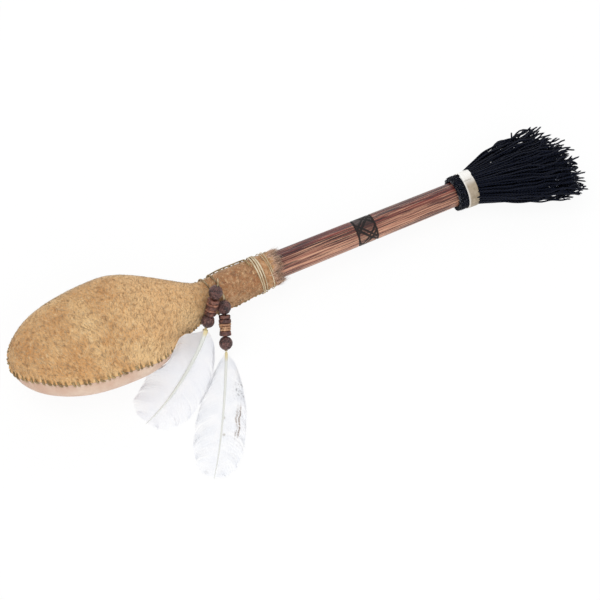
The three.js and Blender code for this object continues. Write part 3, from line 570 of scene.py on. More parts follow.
def both_sides(values):
    """Values of a hide's outer face, with zero on the inner one."""
    return np.concatenate((values, np.zeros_like(values)), 1)


upper_face, upper_out, upper_edge, upper_stitch_shade = hide_face(True, UPPER_FACETS)
lower_face, _, _, lower_stitch_shade = hide_face(False, LOWER_FACETS)

hair_hide = Finish("hair_hide", Sheen_Weight=0.4, Sheen_Roughness=0.3, Sheen_Tint=tint(255, 240, 216))
stubble = hair_hide.noise((520, 260, 420), detail=3, roughness=0.6)
patches = hair_hide.noise(34, detail=3)
grain = hair_hide.noise(1500, detail=2)
swirls = hair_hide.noise(170, detail=3, distortion=1.2)
where_x = hair_hide.node("SeparateXYZ", {}, {"Vector": hair_hide.place()}, output="X")
shoulder_light_mask = where_x.ramp(-0.01, 0.03) * where_x.ramp(0.068, 0.052)
on_neck = where_x.ramp(0.06, 0.08)
hair_colour = hair_hide.stains_and_painted_light(
    hair_hide.toned(patches, 0.36, 0.66, (200, 147, 90), (226, 188, 134)),
    (where_x.ramp(-0.02, -0.07) * 0.5, (198, 140, 82)),
    # painted light: the shoulder between the head's middle and the waist is painted lighter
    (shoulder_light_mask * 0.45, (240, 202, 150)),
    (where_x.ramp(0.055, 0.085) * 0.8, (152, 101, 68)),
    (where_x.ramp(0.108, 0.12) * 0.7, (196, 148, 102)),
    # the hair's own dark and pale strokes, and partly painted shade in the stubble's dips and painted
    # highlight on its raised points
    (stubble.ramp(0.48, 0.34) * 0.6, (142, 94, 52)),
    (stubble.ramp(0.56, 0.72) * 0.5, (240, 212, 166)),
    (swirls.ramp(0.52, 0.66) * on_neck * 0.7, (112, 72, 50)),
    (swirls.ramp(0.46, 0.34) * on_neck * 0.6, (204, 164, 126)),
    # painted highlight: a pale sheen along the far side of the hide, where its face turns to +Y
    (hair_hide.trait("rim") * 0.6, (242, 220, 188)),
    # painted shade at each stitch, where the edge is pulled in under the thread
    (hair_hide.trait("stitched") * 0.65, (122, 92, 52)))
hair_hide.feed(Base_Color=hair_colour, Roughness=0.7 + grain * 0.25,
               Normal=hair_hide.bump(stubble * 0.7 + grain * 0.3, 0.0004))

bare_hide = Finish("bare_hide", Sheen_Weight=0.1)
blush = bare_hide.noise(55)
pores = bare_hide.noise(1100, detail=3)
creases = bare_hide.noise((40, 170, 170), distortion=0.6)
bare_colour = bare_hide.stains_and_painted_light(
    bare_hide.toned(blush, 0.32, 0.7, (199, 164, 142), (216, 191, 170)),
    (creases.ramp(0.56, 0.76) * 0.35, (196, 154, 132)),
    # painted shade at each stitch, where the edge is pulled in under the thread
    (bare_hide.trait("stitched") * 0.5, (140, 108, 76)))
bare_hide.feed(Base_Color=bare_colour, Roughness=0.42 + pores * 0.2,
               Normal=bare_hide.bump(creases * 0.5 + pores * 0.4, 0.0003))

upper_shell = hide_shell(upper_face, True, UPPER_FACETS)
lower_shell = hide_shell(lower_face, False, LOWER_FACETS)
# How far the hide's face turns to the far side, which sets its painted sheen highlight.
upper_sheen_rim = smooth(upper_out[..., 1], 0.5, 0.93)
upper_traits = {"stitched": both_sides(upper_stitch_shade), "rim": both_sides(upper_sheen_rim)}
lower_traits = {"stitched": both_sides(lower_stitch_shade)}
upper_hide = put_skins("upper_hide_skin", upper_shell[None], hair_hide, upper_traits)
lower_hide = put_skins("lower_hide_skin", lower_shell[None], bare_hide, lower_traits)
for piece, node, slot in ((upper_hide, "upper_hide", "hair_hide"), (lower_hide, "lower_hide", "bare_hide")):
    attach(piece, "rattle")
    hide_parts(node)


# Hair. Short hair is left on the upper hide and lies across it to the near side. Where the sleeve's end was
# torn off, longer hairs stand out of its edge along the stick.
HAIRS, TRIES, FRAYED = 32000, 140000, 2600
HAIR_RADIUS, FRAY_RADIUS = 0.12, 0.11
SLANTED = (0.31, 0.52, 0.79)


def put_hairs(name, roots, growth, length, thick, finish, tone):
    """Each hair is a slim spike with three sides: a triangle round its root, and its point at root + growth x
    length."""
    side = unit(np.cross(growth, SLANTED))
    other = np.cross(growth, side)
    turn = np.arange(3)[:, None] * 2 * np.pi / 3
    foot = roots[:, None] + thick * (side[:, None] * np.cos(turn) + other[:, None] * np.sin(turn))
    tip = roots + growth * length[:, None]
    points = np.concatenate((foot, tip[:, None]), 1)
    spike = np.array([(0, 1, 3), (1, 2, 3), (2, 0, 3), (2, 1, 0)])
    faces = (np.arange(len(roots))[:, None, None] * 4 + spike).reshape(-1, 3)
    return put_mesh(name, points, faces, finish, traits={"tone": np.repeat(tone, 4)}, sharp=180)


def between(grid, i, j):
    """Values of a grid at fractional rows and columns, mixed from the four nearest."""
    a, b = i.astype(int), j.astype(int)
    s, t = i - a, j - b
    s, t = (s[:, None], t[:, None]) if grid.ndim == 3 else (s, t)
    first = (1 - t) * grid[a, b] + t * grid[a, b + 1]
    return (1 - s) * first + s * ((1 - t) * grid[a + 1, b] + t * grid[a + 1, b + 1])


def hair_finish(name, roughness, dark, light):
    """Hairs of a tone from dark to light, each by its own trait."""
    look = Finish(name, Roughness=roughness)
    look.feed(Base_Color=look.mix(look.trait("tone"), tint(*dark), tint(*light)))
    return look


short_hair = hair_finish("short_hair", 0.6, (122, 79, 40), (255, 230, 186))
loose_hair = hair_finish("loose_hair", 0.6, (178, 126, 94), (252, 224, 198))

hair_i = chance.random(TRIES) * (HIDE_ROWS - 1.01)
hair_j = chance.random(TRIES) * (UPPER_FACETS - 0.01)
cell = np.linalg.norm(np.cross(np.gradient(upper_face, axis=0), np.gradient(upper_face, axis=1)), axis=2)
cell = cell * smooth(upper_edge, 0.8, 3)
keep = np.flatnonzero(chance.random(TRIES) < between(cell, hair_i, hair_j) / np.quantile(cell, 0.98))[:HAIRS]
hair_i, hair_j = hair_i[keep], hair_j[keep]
hair_root = between(upper_face, hair_i, hair_j)
hair_out = unit(between(upper_out, hair_i, hair_j))
hair_x = hair_root[:, 0]
to_neck = smooth(hair_x, -40, 30)
lie = np.stack((0.3 - 0.75 * to_neck, -0.92 + 0 * to_neck, 0 * to_neck), -1)
lie = lie + 0.13 * chance.normal(size=hair_root.shape)
lie = unit(lie - hair_out * np.sum(lie * hair_out, -1, keepdims=True))
hair_growth = unit(lie + hair_out * chance.uniform(0.06, 0.22, (len(keep), 1)))
hair_length = chance.uniform(1.3, 2.8, len(keep)) * (1 - 0.3 * smooth(hair_x, 60, 80))
hair_tone = 0.62 * lumps(hair_root + 300, 2.5) + 0.38 * chance.random(len(keep))
hair_tone = hair_tone - 0.15 * smooth(hair_x, 55, 85)
hair_root = hair_root - 0.08 * hair_out
stubble_hair = put_hairs("short_hair", hair_root, hair_growth, hair_length, HAIR_RADIUS, short_hair, hair_tone)

fray_turn = chance.uniform(0, 2 * np.pi, FRAYED)
fray_x = NECK_END - 0.4 - torn(NECK_END, fray_turn) - chance.uniform(0, 2.5, FRAYED)
fray_root = hide_point(fray_x, fray_turn, -0.05)
fray_in = round_axis(0, 1, fray_turn) * chance.uniform(0.05, 0.2, (FRAYED, 1))
fray_lie = unit((1.0, 0, 0) - fray_in + 0.13 * chance.normal(size=(FRAYED, 3)))
fray_length = chance.uniform(3, 10, FRAYED)
fray_tone = chance.random(FRAYED)
frayed_edge = put_hairs("frayed_neck_edge", fray_root, fray_lie, fray_length, FRAY_RADIUS,
                        loose_hair, fray_tone)
for piece in (stubble_hair, frayed_edge):
    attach(piece, "rattle")


# Lacing. One thick waxed thread whips the two edges together from the neck's end, round the tip and back: each
# stitch goes over the ridge, in through the lower hide, and out again through the upper one.
THREAD_WIDE, THREAD_HIGH, THREAD_SUNK = 0.68, 0.55, 1.2


def carry(path, up, width, height, lobes=0, lobe_depth=0.0, twist=0.0, sides=12):
    """An oval section carried along paths (... x steps x 3). Its height lies along the up direction, squared
    to the path, and its width across both. Lobes make it a twisted cord: the section bulges by its depth at
    each lobe, and turns by the twist angle, given per step."""
    path = np.asarray(path, float)
    along = unit(np.gradient(path, axis=-2))
    up = np.broadcast_to(up, path.shape)
    up = unit(up - along * np.sum(up * along, -1, keepdims=True))
    across = np.cross(along, up)
    turn = np.linspace(0, 2 * np.pi, sides, endpoint=False)
    bulge = 1 + lobe_depth * np.cos(lobes * (turn - np.asarray(twist)[..., None]))
    wide = np.asarray(width)[..., None] * bulge * np.cos(turn)
    high = np.asarray(height)[..., None] * bulge * np.sin(turn)
    wide, high = (np.broadcast_to(v, path.shape[:-1] + (sides,))[..., None] for v in (wide, high))
    return path[..., None, :] + across[..., None, :] * wide + up[..., None, :] * high


stitch_way = np.arange(-seam_way[-1] + 6, seam_way[-1] - 3, STITCH_PITCH / 20)
stitch_q = np.interp(np.abs(stitch_way), seam_way, seam_q)
stitch_x = station(stitch_q, 0)
stitch_side = np.where(stitch_way < 0, near_seam(stitch_x), far_seam(stitch_x))
seam_line = hide_point(stitch_x, stitch_side, 0)
seam_out = unit(hide_point(station(stitch_q, -1), stitch_side, -1) - seam_line)
seam_across = np.cross(seam_out, unit(np.gradient(seam_line, axis=0)))
swing = 2 * np.pi * stitch_count(np.abs(stitch_way))
on_head = smooth(stitch_x, 78, 60)
notched = notch_depth(stitch_x) * (stitch_way < 0)
proud = (0.4 + 0.55 * on_head) * (1 - 0.6 * smooth(stitch_way, 10, 22))
over = np.where(np.sin(swing) > 0, proud, THREAD_SUNK) * np.sin(swing) - notched
aside = (1.2 + 0.38 * np.sin(0.57 * stitch_way)) * (0.6 + 0.4 * on_head) * np.cos(swing)
lace_path = seam_line - seam_across * aside[:, None] + seam_out * over[:, None]

dark_thread = clouded("dark_thread", 0.65, (90, 0.35, 0.65), (122, 100, 62), (172, 148, 106),
                      (1300, 3, 0.5, 0.36, 0.6), (80, 62, 36), 0.0002)
lace_rings = carry(lace_path, seam_out, THREAD_WIDE, THREAD_HIGH, sides=8)
lacing = put_skins("whip_lacing", lace_rings[None], dark_thread)
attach(lacing, "rattle")
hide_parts("seam_lacing")


# Neck binding. A wet strip of pale sinew was wound over the sleeve near its end, its first turns pressed into
# one strand and the last ones apart. The tail of the dark lacing thread runs back from it along the far seam.
BIND_TURNS, BIND_START, BIND_PITCH, LAST_TURNS_APART = 4.5, 109, 1.6, 4
TAIL_START, TAIL_REACH = 77, 29.5


def neck_winding(turn, x, lift):
    """A line round the neck by turns, lying on the hide and stepping over the lacing at both seams, with the
    direction out of the neck at each of its points."""
    angle = 2 * np.pi * turn - np.pi / 4
    gap = np.minimum(np.arccos(np.cos(angle - far_seam(x))), np.arccos(np.cos(angle - near_seam(x))))
    over_lace = 1 - smooth(np.degrees(gap), 16, 37)
    return hide_point(x, angle, -(lift + 0.5 * over_lace)), round_axis(0, 1, angle)


bind_turn = np.linspace(0, BIND_TURNS, 520)
bind_x = BIND_START + BIND_PITCH * bind_turn + LAST_TURNS_APART * smooth(bind_turn, 2.5, 3.5)
bind_path, bind_up = neck_winding(bind_turn, bind_x + 0.25 * np.sin(11 * bind_turn), 0.6)
on_top = np.clip(bind_up[:, 2], 0, 1) ** 2
late = smooth(bind_turn, 2.4, 3.0)
bind_wide = (0.47 + 0.13 * on_top) * (1 - 0.35 * late) + 0.08 * np.sin(9 * bind_turn)
bind_high = 0.42 - 0.1 * late

pale_sinew = Finish("pale_sinew", Coat_Weight=0.15, Coat_Roughness=0.3)
sinew_fibres = pale_sinew.noise((900, 130, 130))
sinew_stain = pale_sinew.noise(130, detail=3)
sinew_colour = pale_sinew.stains_and_painted_light(
    pale_sinew.toned(sinew_stain, 0.35, 0.68, (178, 156, 120), (214, 198, 168)),
    (sinew_fibres.ramp(0.56, 0.76) * 0.5, (146, 118, 82)))
pale_sinew.feed(Base_Color=sinew_colour, Roughness=0.4 + sinew_stain * 0.25,
                Normal=pale_sinew.bump(sinew_fibres, 0.0003))
bind_rings = carry(bind_path, bind_up, bind_wide, bind_high, sides=12)
binding = put_skins("sinew_binding", bind_rings[None], pale_sinew)
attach(binding, "rattle")
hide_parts("neck_binding")

tail_step = np.linspace(0, 1, 120)
tail_turn = 0.22 + 0.035 * tail_step + 0.1 * smooth(tail_step, 0.85, 1)
tail_x = TAIL_START + TAIL_REACH * np.sin(0.5 * np.pi * tail_step) ** 1.2
tail_path, tail_up = neck_winding(tail_turn, tail_x, 0.55 + 0.3 * tail_step)
lacing_tail = put_skins("lacing_tail", carry(tail_path, tail_up, 0.6, 0.5, sides=8)[None], dark_thread)
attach(lacing_tail, "rattle")


# Neck cord. A thin string of two twisted plies is tied twice round the neck next to the head. It lies on the
# hides, over the seams' lacing, and carries both pendants.
CORD_TURNS, CORD_START, CORD_PITCH, CORD_THICK = 2, WAIST_X, 6.8, 0.55


def twisted(path, up, thick, turn):
    """A cord of two plies carried along a path, turned by that angle at each step."""
    twist = np.arange(len(path)) * turn
    return carry(path, up, thick, thick, lobes=2, lobe_depth=0.22, twist=twist, sides=10)


twine = clouded("twine", 0.75, (200, 0.35, 0.65), (112, 88, 58), (196, 176, 140),
                (1600, 3, 0.55, 0.72, 0.5), (84, 64, 40), 0.0002)
cord_turn = np.linspace(0, CORD_TURNS, 330)
cord_path, cord_up = neck_winding(cord_turn, CORD_START + CORD_PITCH * cord_turn, 0.62)
neck_cord = put_skins("neck_twine", twisted(cord_path, cord_up, CORD_THICK, 0.42)[None], twine)
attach(neck_cord, "rattle")
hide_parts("neck_cord")


# Pendant strings. Each is one twine from the neck cord through all its beads, knotted under the last bead
# where the quill is bound in.
def outside_hide(x, angle, distance):
    """A place outside the hide at x, at an angle in degrees from +Y towards +Z."""
    return hide_point(x, math.radians(angle), -distance)


def smooth_line(points, count):
    """A line through all points with even speed: cubic pieces with slopes from the neighbouring points."""
    points = np.asarray(points, float)
    knot = np.concatenate(([0], np.cumsum(np.sqrt(np.linalg.norm(np.diff(points, axis=0), axis=1)))))
    slope = np.gradient(points, knot, axis=0)
    t = np.linspace(0, knot[-1], 40 * len(points))
    k = np.clip(np.searchsorted(knot, t, side="right") - 1, 0, len(knot) - 2)
    gap = (knot[k + 1] - knot[k])[:, None]
    s = (t - knot[k])[:, None] / gap
    line = ((1 + 2 * s) * (1 - s) ** 2 * points[k] + s * (1 - s) ** 2 * gap * slope[k]
            + s * s * (3 - 2 * s) * points[k + 1] + s * s * (s - 1) * gap * slope[k + 1])
    way = way_along(line)
    even = np.linspace(0, way[-1], count)
    return np.stack([np.interp(even, way, line[:, axis]) for axis in range(3)], -1)


DARK, PALE, LONG = 2.6, 1.5, 3.4
UPPER_BEAD, LOWER_BEAD, DISC, BORE, BEAD_GAP = 5.2, 5.0, 4.3, 0.95, 0.3
STRING_STEPS, STRING_THICK, KNOT_THICK, KNOT_ROOM = 160, 0.45, 0.6, 0.6
LEFT_TURN = math.radians(247.4)
left_line = unit(np.array((-0.51, math.cos(LEFT_TURN), math.sin(LEFT_TURN))))
left_bead = outside_hide(65.4, 157.4, 5.3) - 16.3 * left_line
right_line = unit(np.array((-0.3, -0.69, -0.66)))
right_bead = outside_hide(76.2, 156, 6.1)
pendants = {
    "left": {"bead": left_bead, "line": left_line, "discs": (DARK, PALE, DARK, PALE, DARK),
             "start": [outside_hide(79.2, 100, 2.3), outside_hide(77.5, 102, 13.8),
                       left_bead - 6.6 * left_line]},
    "right": {"bead": right_bead, "line": right_line, "discs": (DARK, DARK, PALE, PALE, PALE, LONG),
              "start": [outside_hide(79.2, 122, 2.3), right_bead - 6.4 * right_line]},
}
for side, pendant in pendants.items():
    stack = np.concatenate(([UPPER_BEAD], np.array(pendant["discs"]) / 2, [LOWER_BEAD]))
    pendant["drops"] = np.concatenate(([0], np.cumsum(stack[:-1] + stack[1:] + BEAD_GAP)))
    pendant["end"] = pendant["drops"][-1] + LOWER_BEAD + KNOT_ROOM
    beads_way = np.linspace(-UPPER_BEAD, pendant["end"], len(pendant["discs"]) + 3)[:, None]
    route = np.concatenate((pendant["start"], pendant["bead"] + beads_way * pendant["line"]))
    path = smooth_line(route, STRING_STEPS)
    length = way_along(path)[-1] / 1000
    to_end = np.linspace(-1000 * length, 0, STRING_STEPS)
    thick = STRING_THICK + KNOT_THICK * smooth(to_end, -0.75, -0.45)
    string = put_skins(f"{side}_twine", twisted(path, SLANTED, thick, 0.45)[None], twine)
    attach(string, f"{side}_pendant")
    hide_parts(f"{side}_string")
    pendant["string"] = (string, path, length)


# Beads. Round ones are dark wooden seeds, drilled and left rough; the flat discs are sawn from the same wood
# and, for the thin pale ones, from coconut shell. All are threaded tight on the string.
def bead_rings(middle, line, profile):
    """A closed profile of (place along the line, radius) turned round the line, with dents and small pits."""
    side = unit(np.cross(line, (0.0, 0.0, 1.0)))
    other = np.cross(line, side)
    turn = np.linspace(0, 2 * np.pi, 72, endpoint=False)[:, None, None]
    place, radius = profile[:, :1], profile[:, 1:]
    spoke = side * np.cos(turn) + other * np.sin(turn)
    skin = middle + place * line + radius * spoke
    rough = smooth(radius, BORE, BORE + 0.8)
    pits = np.minimum(lumps(skin + 900, 0.8) - 0.5, 0) * 1.6 + (lumps(skin + 500, 2.6) - 1) * 0.3
    return skin + spoke * rough * pits[..., None]


def ball_profile(radius):
    """Half a circle from bore to bore, and the bore's wall back."""
    first = math.asin(BORE / radius)
    angle = np.linspace(first, np.pi - first, 45)
    ball = np.stack((-radius * np.cos(angle), radius * np.sin(angle)), -1)
    wall = np.stack((np.linspace(ball[-1, 0], ball[0, 0], 9)[1:-1], np.full(7, BORE)), -1)
    return np.concatenate((ball, wall))


def squared_off(values, power):
    """Values from -1 to 1 raised to a power under 1, which keeps their sign and squares off an oval."""
    return np.sign(values) * np.abs(values) ** power


def disc_profile(thickness, radius):
    """A sawn disc with softened edges: its rim and faces follow a squared-off oval, then the bore's wall."""
    angle = np.linspace(-np.pi / 2, np.pi / 2, 33)
    rim = np.stack((thickness / 2 * squared_off(np.sin(angle), 0.34),
                    BORE + (radius - BORE) * np.cos(angle) ** 0.18), -1)
    rim[[0, -1], 1] = BORE
    wall = np.stack((np.linspace(rim[-1, 0], rim[0, 0], 7)[1:-1], np.full(5, BORE)), -1)
    return np.concatenate((rim, wall))


seed_wood = Finish("seed_wood", Coat_Weight=0.2, Coat_Roughness=0.25)
seed_pores = seed_wood.noise(950, roughness=0.65)
grime = seed_wood.noise(260, detail=3)
seed_colour = seed_wood.stains_and_painted_light(
    seed_wood.toned(grime, 0.32, 0.68, (60, 36, 37), (118, 78, 72)),
    # painted highlight: pale flecks on the pores' raised points; painted shade: the pits below them are
    # painted near black
    (seed_pores.ramp(0.56, 0.7) * 0.6, (174, 130, 118)),
    (seed_pores.ramp(0.5, 0.36), (30, 18, 21)))
seed_wood.feed(Base_Color=seed_colour, Roughness=0.3 + grime * 0.3, Normal=seed_wood.bump(seed_pores, 0.0016))


def disc_finish(name, dark, light, layer_colour):
    """Sawn discs: a cloudy tone from dark to light, with fine stained grain."""
    return clouded(name, 0.5, (240, 0.35, 0.65), dark, light, (520, 4, 0.54, 0.36, 0.7), layer_colour, 0.0004)


disc_wood = disc_finish("disc_wood", (74, 42, 38), (128, 82, 68), (36, 20, 19))
thin_discs = {"left": disc_finish("worn_shell", (112, 66, 54), (168, 116, 92), (62, 34, 28)),
              "right": disc_finish("coconut_shell", (166, 120, 88), (208, 166, 126), (110, 70, 50))}

for side, pendant in pendants.items():
    names = ["upper_bead"] + [f"disc_{k + 1}" for k in range(len(pendant["discs"]))] + ["lower_bead"]
    sizes = (None,) + pendant["discs"] + (None,)
    for k, (name, size, drop) in enumerate(zip(names, sizes, pendant["drops"])):
        middle = pendant["bead"] + drop * pendant["line"]
        worn = DISC + 0.1 + 0.25 * math.sin(5 * k + len(side))
        if size is None:
            profile, look, slot = ball_profile(UPPER_BEAD if k == 0 else LOWER_BEAD), seed_wood, "dark_bead"
        elif size == PALE:
            profile, look, slot = disc_profile(size + 0.1, worn), thin_discs[side], "pale_bead"
        else:
            profile, look, slot = disc_profile(size + 0.1, worn), disc_wood, "dark_bead"
        rings = bead_rings(middle, pendant["line"], profile)
        bead = put_skins(f"{side}_{name}_turned", rings[None], look, looped=True)
        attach(bead, f"{side}_pendant")
        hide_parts(f"{side}_{name}")
    string, path, length = pendant["string"]
    path[0] / 1000
    (path / 1000).tolist()


# Feathers. Two white wing feathers, each hung by its quill from the last bead. Every vane is a row of barbs
# that lean towards the tip and cling together, with splits where a few have come apart. The left one leans
# against the head with its upper vane.
FEATHER_LIFT, FEATHER_LENGTH = 1.5, 104
BARBS, BARB_STEPS, LAST_BARB, BARB_OVERLAP = 170, 11, 0.985, 1.25
QUILL_END, QUILL_TIP, QUILL_POINT = 0.6, 0.25, 0.015


def bezier(points, s):
    """A cubic curve from its four points."""
    s = s[:, None]
    a, b, c, d = points
    return (1 - s) ** 3 * a + 3 * (1 - s) ** 2 * s * b + 3 * (1 - s) * s * s * c + s ** 3 * d


def feather_line(pendant, reach, lead, straight):
    """The rachis as even steps from the last bead, straight on at first, then down and along the table."""
    root = pendant["bead"] + (pendant["end"] + 0.45) * pendant["line"]
    tip = np.array((root[0] + reach[0], root[1] + reach[1], FEATHER_LIFT))
    bend = root + straight * pendant["line"]
    bend[2] = max(bend[2], FEATHER_LIFT)
    sweep = np.array((tip[0] - lead[0], tip[1] - lead[1], FEATHER_LIFT))
    return smooth_line(bezier((root, bend, sweep, tip), np.linspace(0, 1, 80)), 400)


def clear_of_hide(points, gap):
    """Points that are in the hides, or nearer than the gap, moved straight out of the hide's section."""
    far, near = (hide_point(points[..., 0], side, -gap) for side in (0.0, np.pi))
    middle, wide = (far + near) / 2, (far - near)[..., 1] / 2
    off = points - middle
    share = np.hypot(off[..., 1] / wide, off[..., 2] / half_height(points[..., 0], -gap))
    moved = middle + off / np.clip(share, 1e-6, 1)[..., None]
    return np.where((points[..., 0] < NECK_END)[..., None], moved, points)


def vane_reach(g, width, opening, narrowing, closing):
    """A vane's reach beside the rachis: it opens over the first part, narrows along its length, and closes in
    a quarter round at the tip."""
    full = np.sin(np.pi / 2 * np.minimum(1, np.maximum(g, 0) / 0.6)) ** opening * (1 + narrowing * (0.45 - g))
    return width * full * np.sqrt(1 - np.clip((g - closing) / (1 - closing), 0, 1) ** 2)


def vane_blades(line, bare, outline, lean, hand, splits):
    """Barbs as slim flat blades: each leaves the rachis, sweeps forward by a share of the feather, and ends on
    the vane's outline. Barbs of one tuft draw together towards their ends, which opens splits between tufts.
    Gives the blades' rings, and the share along the feather and the way beside the rachis at each point."""
    g = np.linspace(0.0, LAST_BARB, BARBS)
    tuft = np.searchsorted(np.sort(splits), g)
    middle = np.array([g[tuft == k].mean() for k in range(len(splits) + 1)])[tuft]
    sweep = 0.17 * (1 - g ** 4) + 0.012 * np.sin(37 * g)
    g_end = np.minimum(g + sweep, 1.0)
    drawn = g_end + (middle - g) * (0.13 if len(splits) else 0) + 0.005 * chance.normal(size=BARBS)
    t = np.linspace(0, 1, BARB_STEPS)
    g_at = g[:, None] + (np.clip(drawn, 0.02, 1)[:, None] - g[:, None]) * t ** 1.25
    far = vane_reach(np.clip(g_end, 0, 0.995), *outline) * (1 - 0.05 * chance.random(BARBS))
    away = far[:, None] * np.sin(t * np.pi / 2) ** 0.9
    s = np.clip(bare + (1 - bare) * g_at, 0, 1)
    spot = s * (len(line) - 1)
    low = np.minimum(spot.astype(int), len(line) - 2)
    part = (spot - low)[..., None]
    stem = line[low] * (1 - part) + line[low + 1] * part
    along = unit(line[low + 1] - line[low])
    level = unit(np.cross((0.0, 0.0, 1.0), along))
    raised = math.radians(lean) * (1 - smooth(s, 0.15, 0.68))[..., None]
    up = np.cross(along, level)
    out = hand * level * np.cos(raised) + up * np.sin(raised)
    face = up * np.cos(raised) - hand * level * np.sin(raised)
    cup = 0.35 * np.sin(np.pi * t)[:, None] + 0.12 * chance.normal(size=(BARBS, 1, 1)) * t[:, None]
    path = clear_of_hide(stem + out * away[..., None] + face * cup, 1.3)
    blade = 0.5 * (BARB_OVERLAP * LAST_BARB * (1 - bare) / BARBS) * FEATHER_LENGTH * (1 - 0.55 * t ** 2)
    rings = carry(path, face, np.broadcast_to(blade, (BARBS, BARB_STEPS)), 0.05, sides=4)
    rings[..., 2] = np.maximum(rings[..., 2], 0.02)
    traits = [np.broadcast_to(value[..., None], rings.shape[:-1]) for value in (g_at, hand * away)]
    return rings, *traits


def feather_finish(name, marked, through):
    """White barbs, faintly cloudy, that let a share of the light through. The marked feather has grey flecks,
    a double brown streak that wavers along one edge, and two specks."""
    look = Finish(name, Roughness=0.72, Sheen_Weight=0.35)
    along, away = look.trait("along"), look.trait("away")
    colour = look.toned(look.noise(120, detail=3), 0.3, 0.75, (244, 246, 249), (254, 254, 254))
    if marked:
        def on_vane(detail, **axes):
            """Noise over the shares along the feather and beside its rachis."""
            return look.noise(where=look.node("CombineXYZ", {}, axes), detail=detail)

        waver = away + (on_vane(2, X=along * 11) - 0.5) * 4
        fibre = on_vane(3, X=along * 7, Y=waver * 0.9)
        fleck = on_vane(3, X=along * 60, Y=away * 0.8)
        mottle = along.ramp(0.17, 0.24) * along.ramp(0.38, 0.32) * away.ramp(5, 8)
        streak = along.ramp(0.37, 0.46) * along.ramp(0.7, 0.6) * abs(abs(waver - 10.6) - 1.0).ramp(0.8, 0.35)
        colour = look.stains_and_painted_light(colour, (mottle * fleck.ramp(0.52, 0.62) * 0.7, (150, 152, 150)),
                              (streak * fibre.ramp(0.4, 0.5) * 0.9, (128, 100, 66)))
        for far, side in ((0.51, 0.8), (0.645, 1.9)):
            spot = (along - far) * (along - far) * 8000 + (away - side) * (away - side)
            colour = look.stains_and_painted_light(colour, (spot.ramp(1.8, 0.2) * 0.55, (150, 138, 104)))
    look.feed(Base_Color=colour)
    look.shared(through, look.node("BsdfTranslucent", {}, {"Color": tint(254, 254, 255)}))
    return look


quill_horn = Finish("quill_horn", Roughness=0.35, Coat_Weight=0.3)
horn_way = quill_horn.trait("along") + quill_horn.noise(300) * 0.03
quill_horn.feed(Base_Color=quill_horn.toned(horn_way, 0.04, 0.1, (222, 206, 154), (219, 221, 215)))

# A vane is its outline (width, opening, narrowing, closing), its lean in degrees, its side and its splits
feathers = {
    "left": {"reach": (-67, -43.6), "lead": (-30, -11), "straight": 16, "bare": 0.015, "stout": 2.1,
             "vanes": (((21, 0.72, 0, 0.72), 0, 1, (0.2, 0.41, 0.58, 0.83)),
                       ((25, 0.16, 0.45, 0.87), 72, -1, ())),
             "marked": False, "through": 0.76},
    "right": {"reach": (-51, -86.5), "lead": (-20, -26), "straight": 9, "bare": 0.02, "stout": 1.05,
              "vanes": (((17, 0.8, 0, 0.72), 0, 1, (0.16, 0.37, 0.62, 0.75)),
                        ((18.5, 1.1, 0, 0.72), 0, -1, (0.28, 0.5, 0.81))),
              "marked": True, "through": 0.58},
}
for side, feather in feathers.items():
    line = feather_line(pendants[side], feather["reach"], feather["lead"], feather["straight"])
    steps = np.linspace(0, 1, len(line))
    stout = feather["stout"]
    thick = np.where(steps < QUILL_POINT, QUILL_END + (stout - QUILL_END) * steps / QUILL_POINT,
                     stout - (stout - QUILL_TIP) * steps)
    quill_rings = carry(line, (0.0, 0.0, 1.0), thick, 0.9 * thick, sides=12)
    quill = put_skins(f"{side}_quill", quill_rings[None], quill_horn, {"along": np.repeat(steps, 12)})
    look = feather_finish(f"{side}_feather_white", feather["marked"], feather["through"])
    parts = [vane_blades(line, feather["bare"], *vane) for vane in feather["vanes"]]
    rings, along, away = (np.concatenate(group) for group in zip(*parts))
    vane = put_skins(f"{side}_vanes", rings, look, {"along": along, "away": away})
    for piece in (quill, vane):
        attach(piece, f"{side}_plume")
    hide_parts(f"{side}_feather")


# Cord heads. The tassel's black cords were laid along the stick's end, bound, and folded back over the
# binding, so their folds make a fuzzy shoulder before the band.
BAND_END, BAND_INSIDE = BAND_START + BAND_WIDTH, 12.5
FOLDS, FOLD_FRONT, FOLD_BACK, FOLD_DEPTH, FOLD_RADIUS = 58, 271.0, 282.5, 0.9, 0.78
OVER_STICK, UNDER_BAND, AT_SHOULDER = 10.1, 11.5, 12.1

black_cord = Finish("black_cord", Specular_IOR_Level=0.16)
ply_wave = abs((black_cord.lay("Y") * 2 + black_cord.lay("X") * 34).fraction() - 0.5) * 2
cord_fibres = black_cord.noise(900, detail=3)
cord_shade = black_cord.stains_and_painted_light(
    # painted highlight and painted shade: lighter along each ply's crest, darker in the grooves of the lay
    black_cord.toned(ply_wave, 0.15, 0.75, (4, 7, 16), (15, 21, 40)),
    (cord_fibres.ramp(0.55, 0.75) * 0.6, (32, 41, 66)))
black_cord.feed(Base_Color=cord_shade, Roughness=0.4 + cord_fibres * 0.3,
                Normal=black_cord.bump(ply_wave * 0.7 + cord_fibres * 0.3, 0.0009))

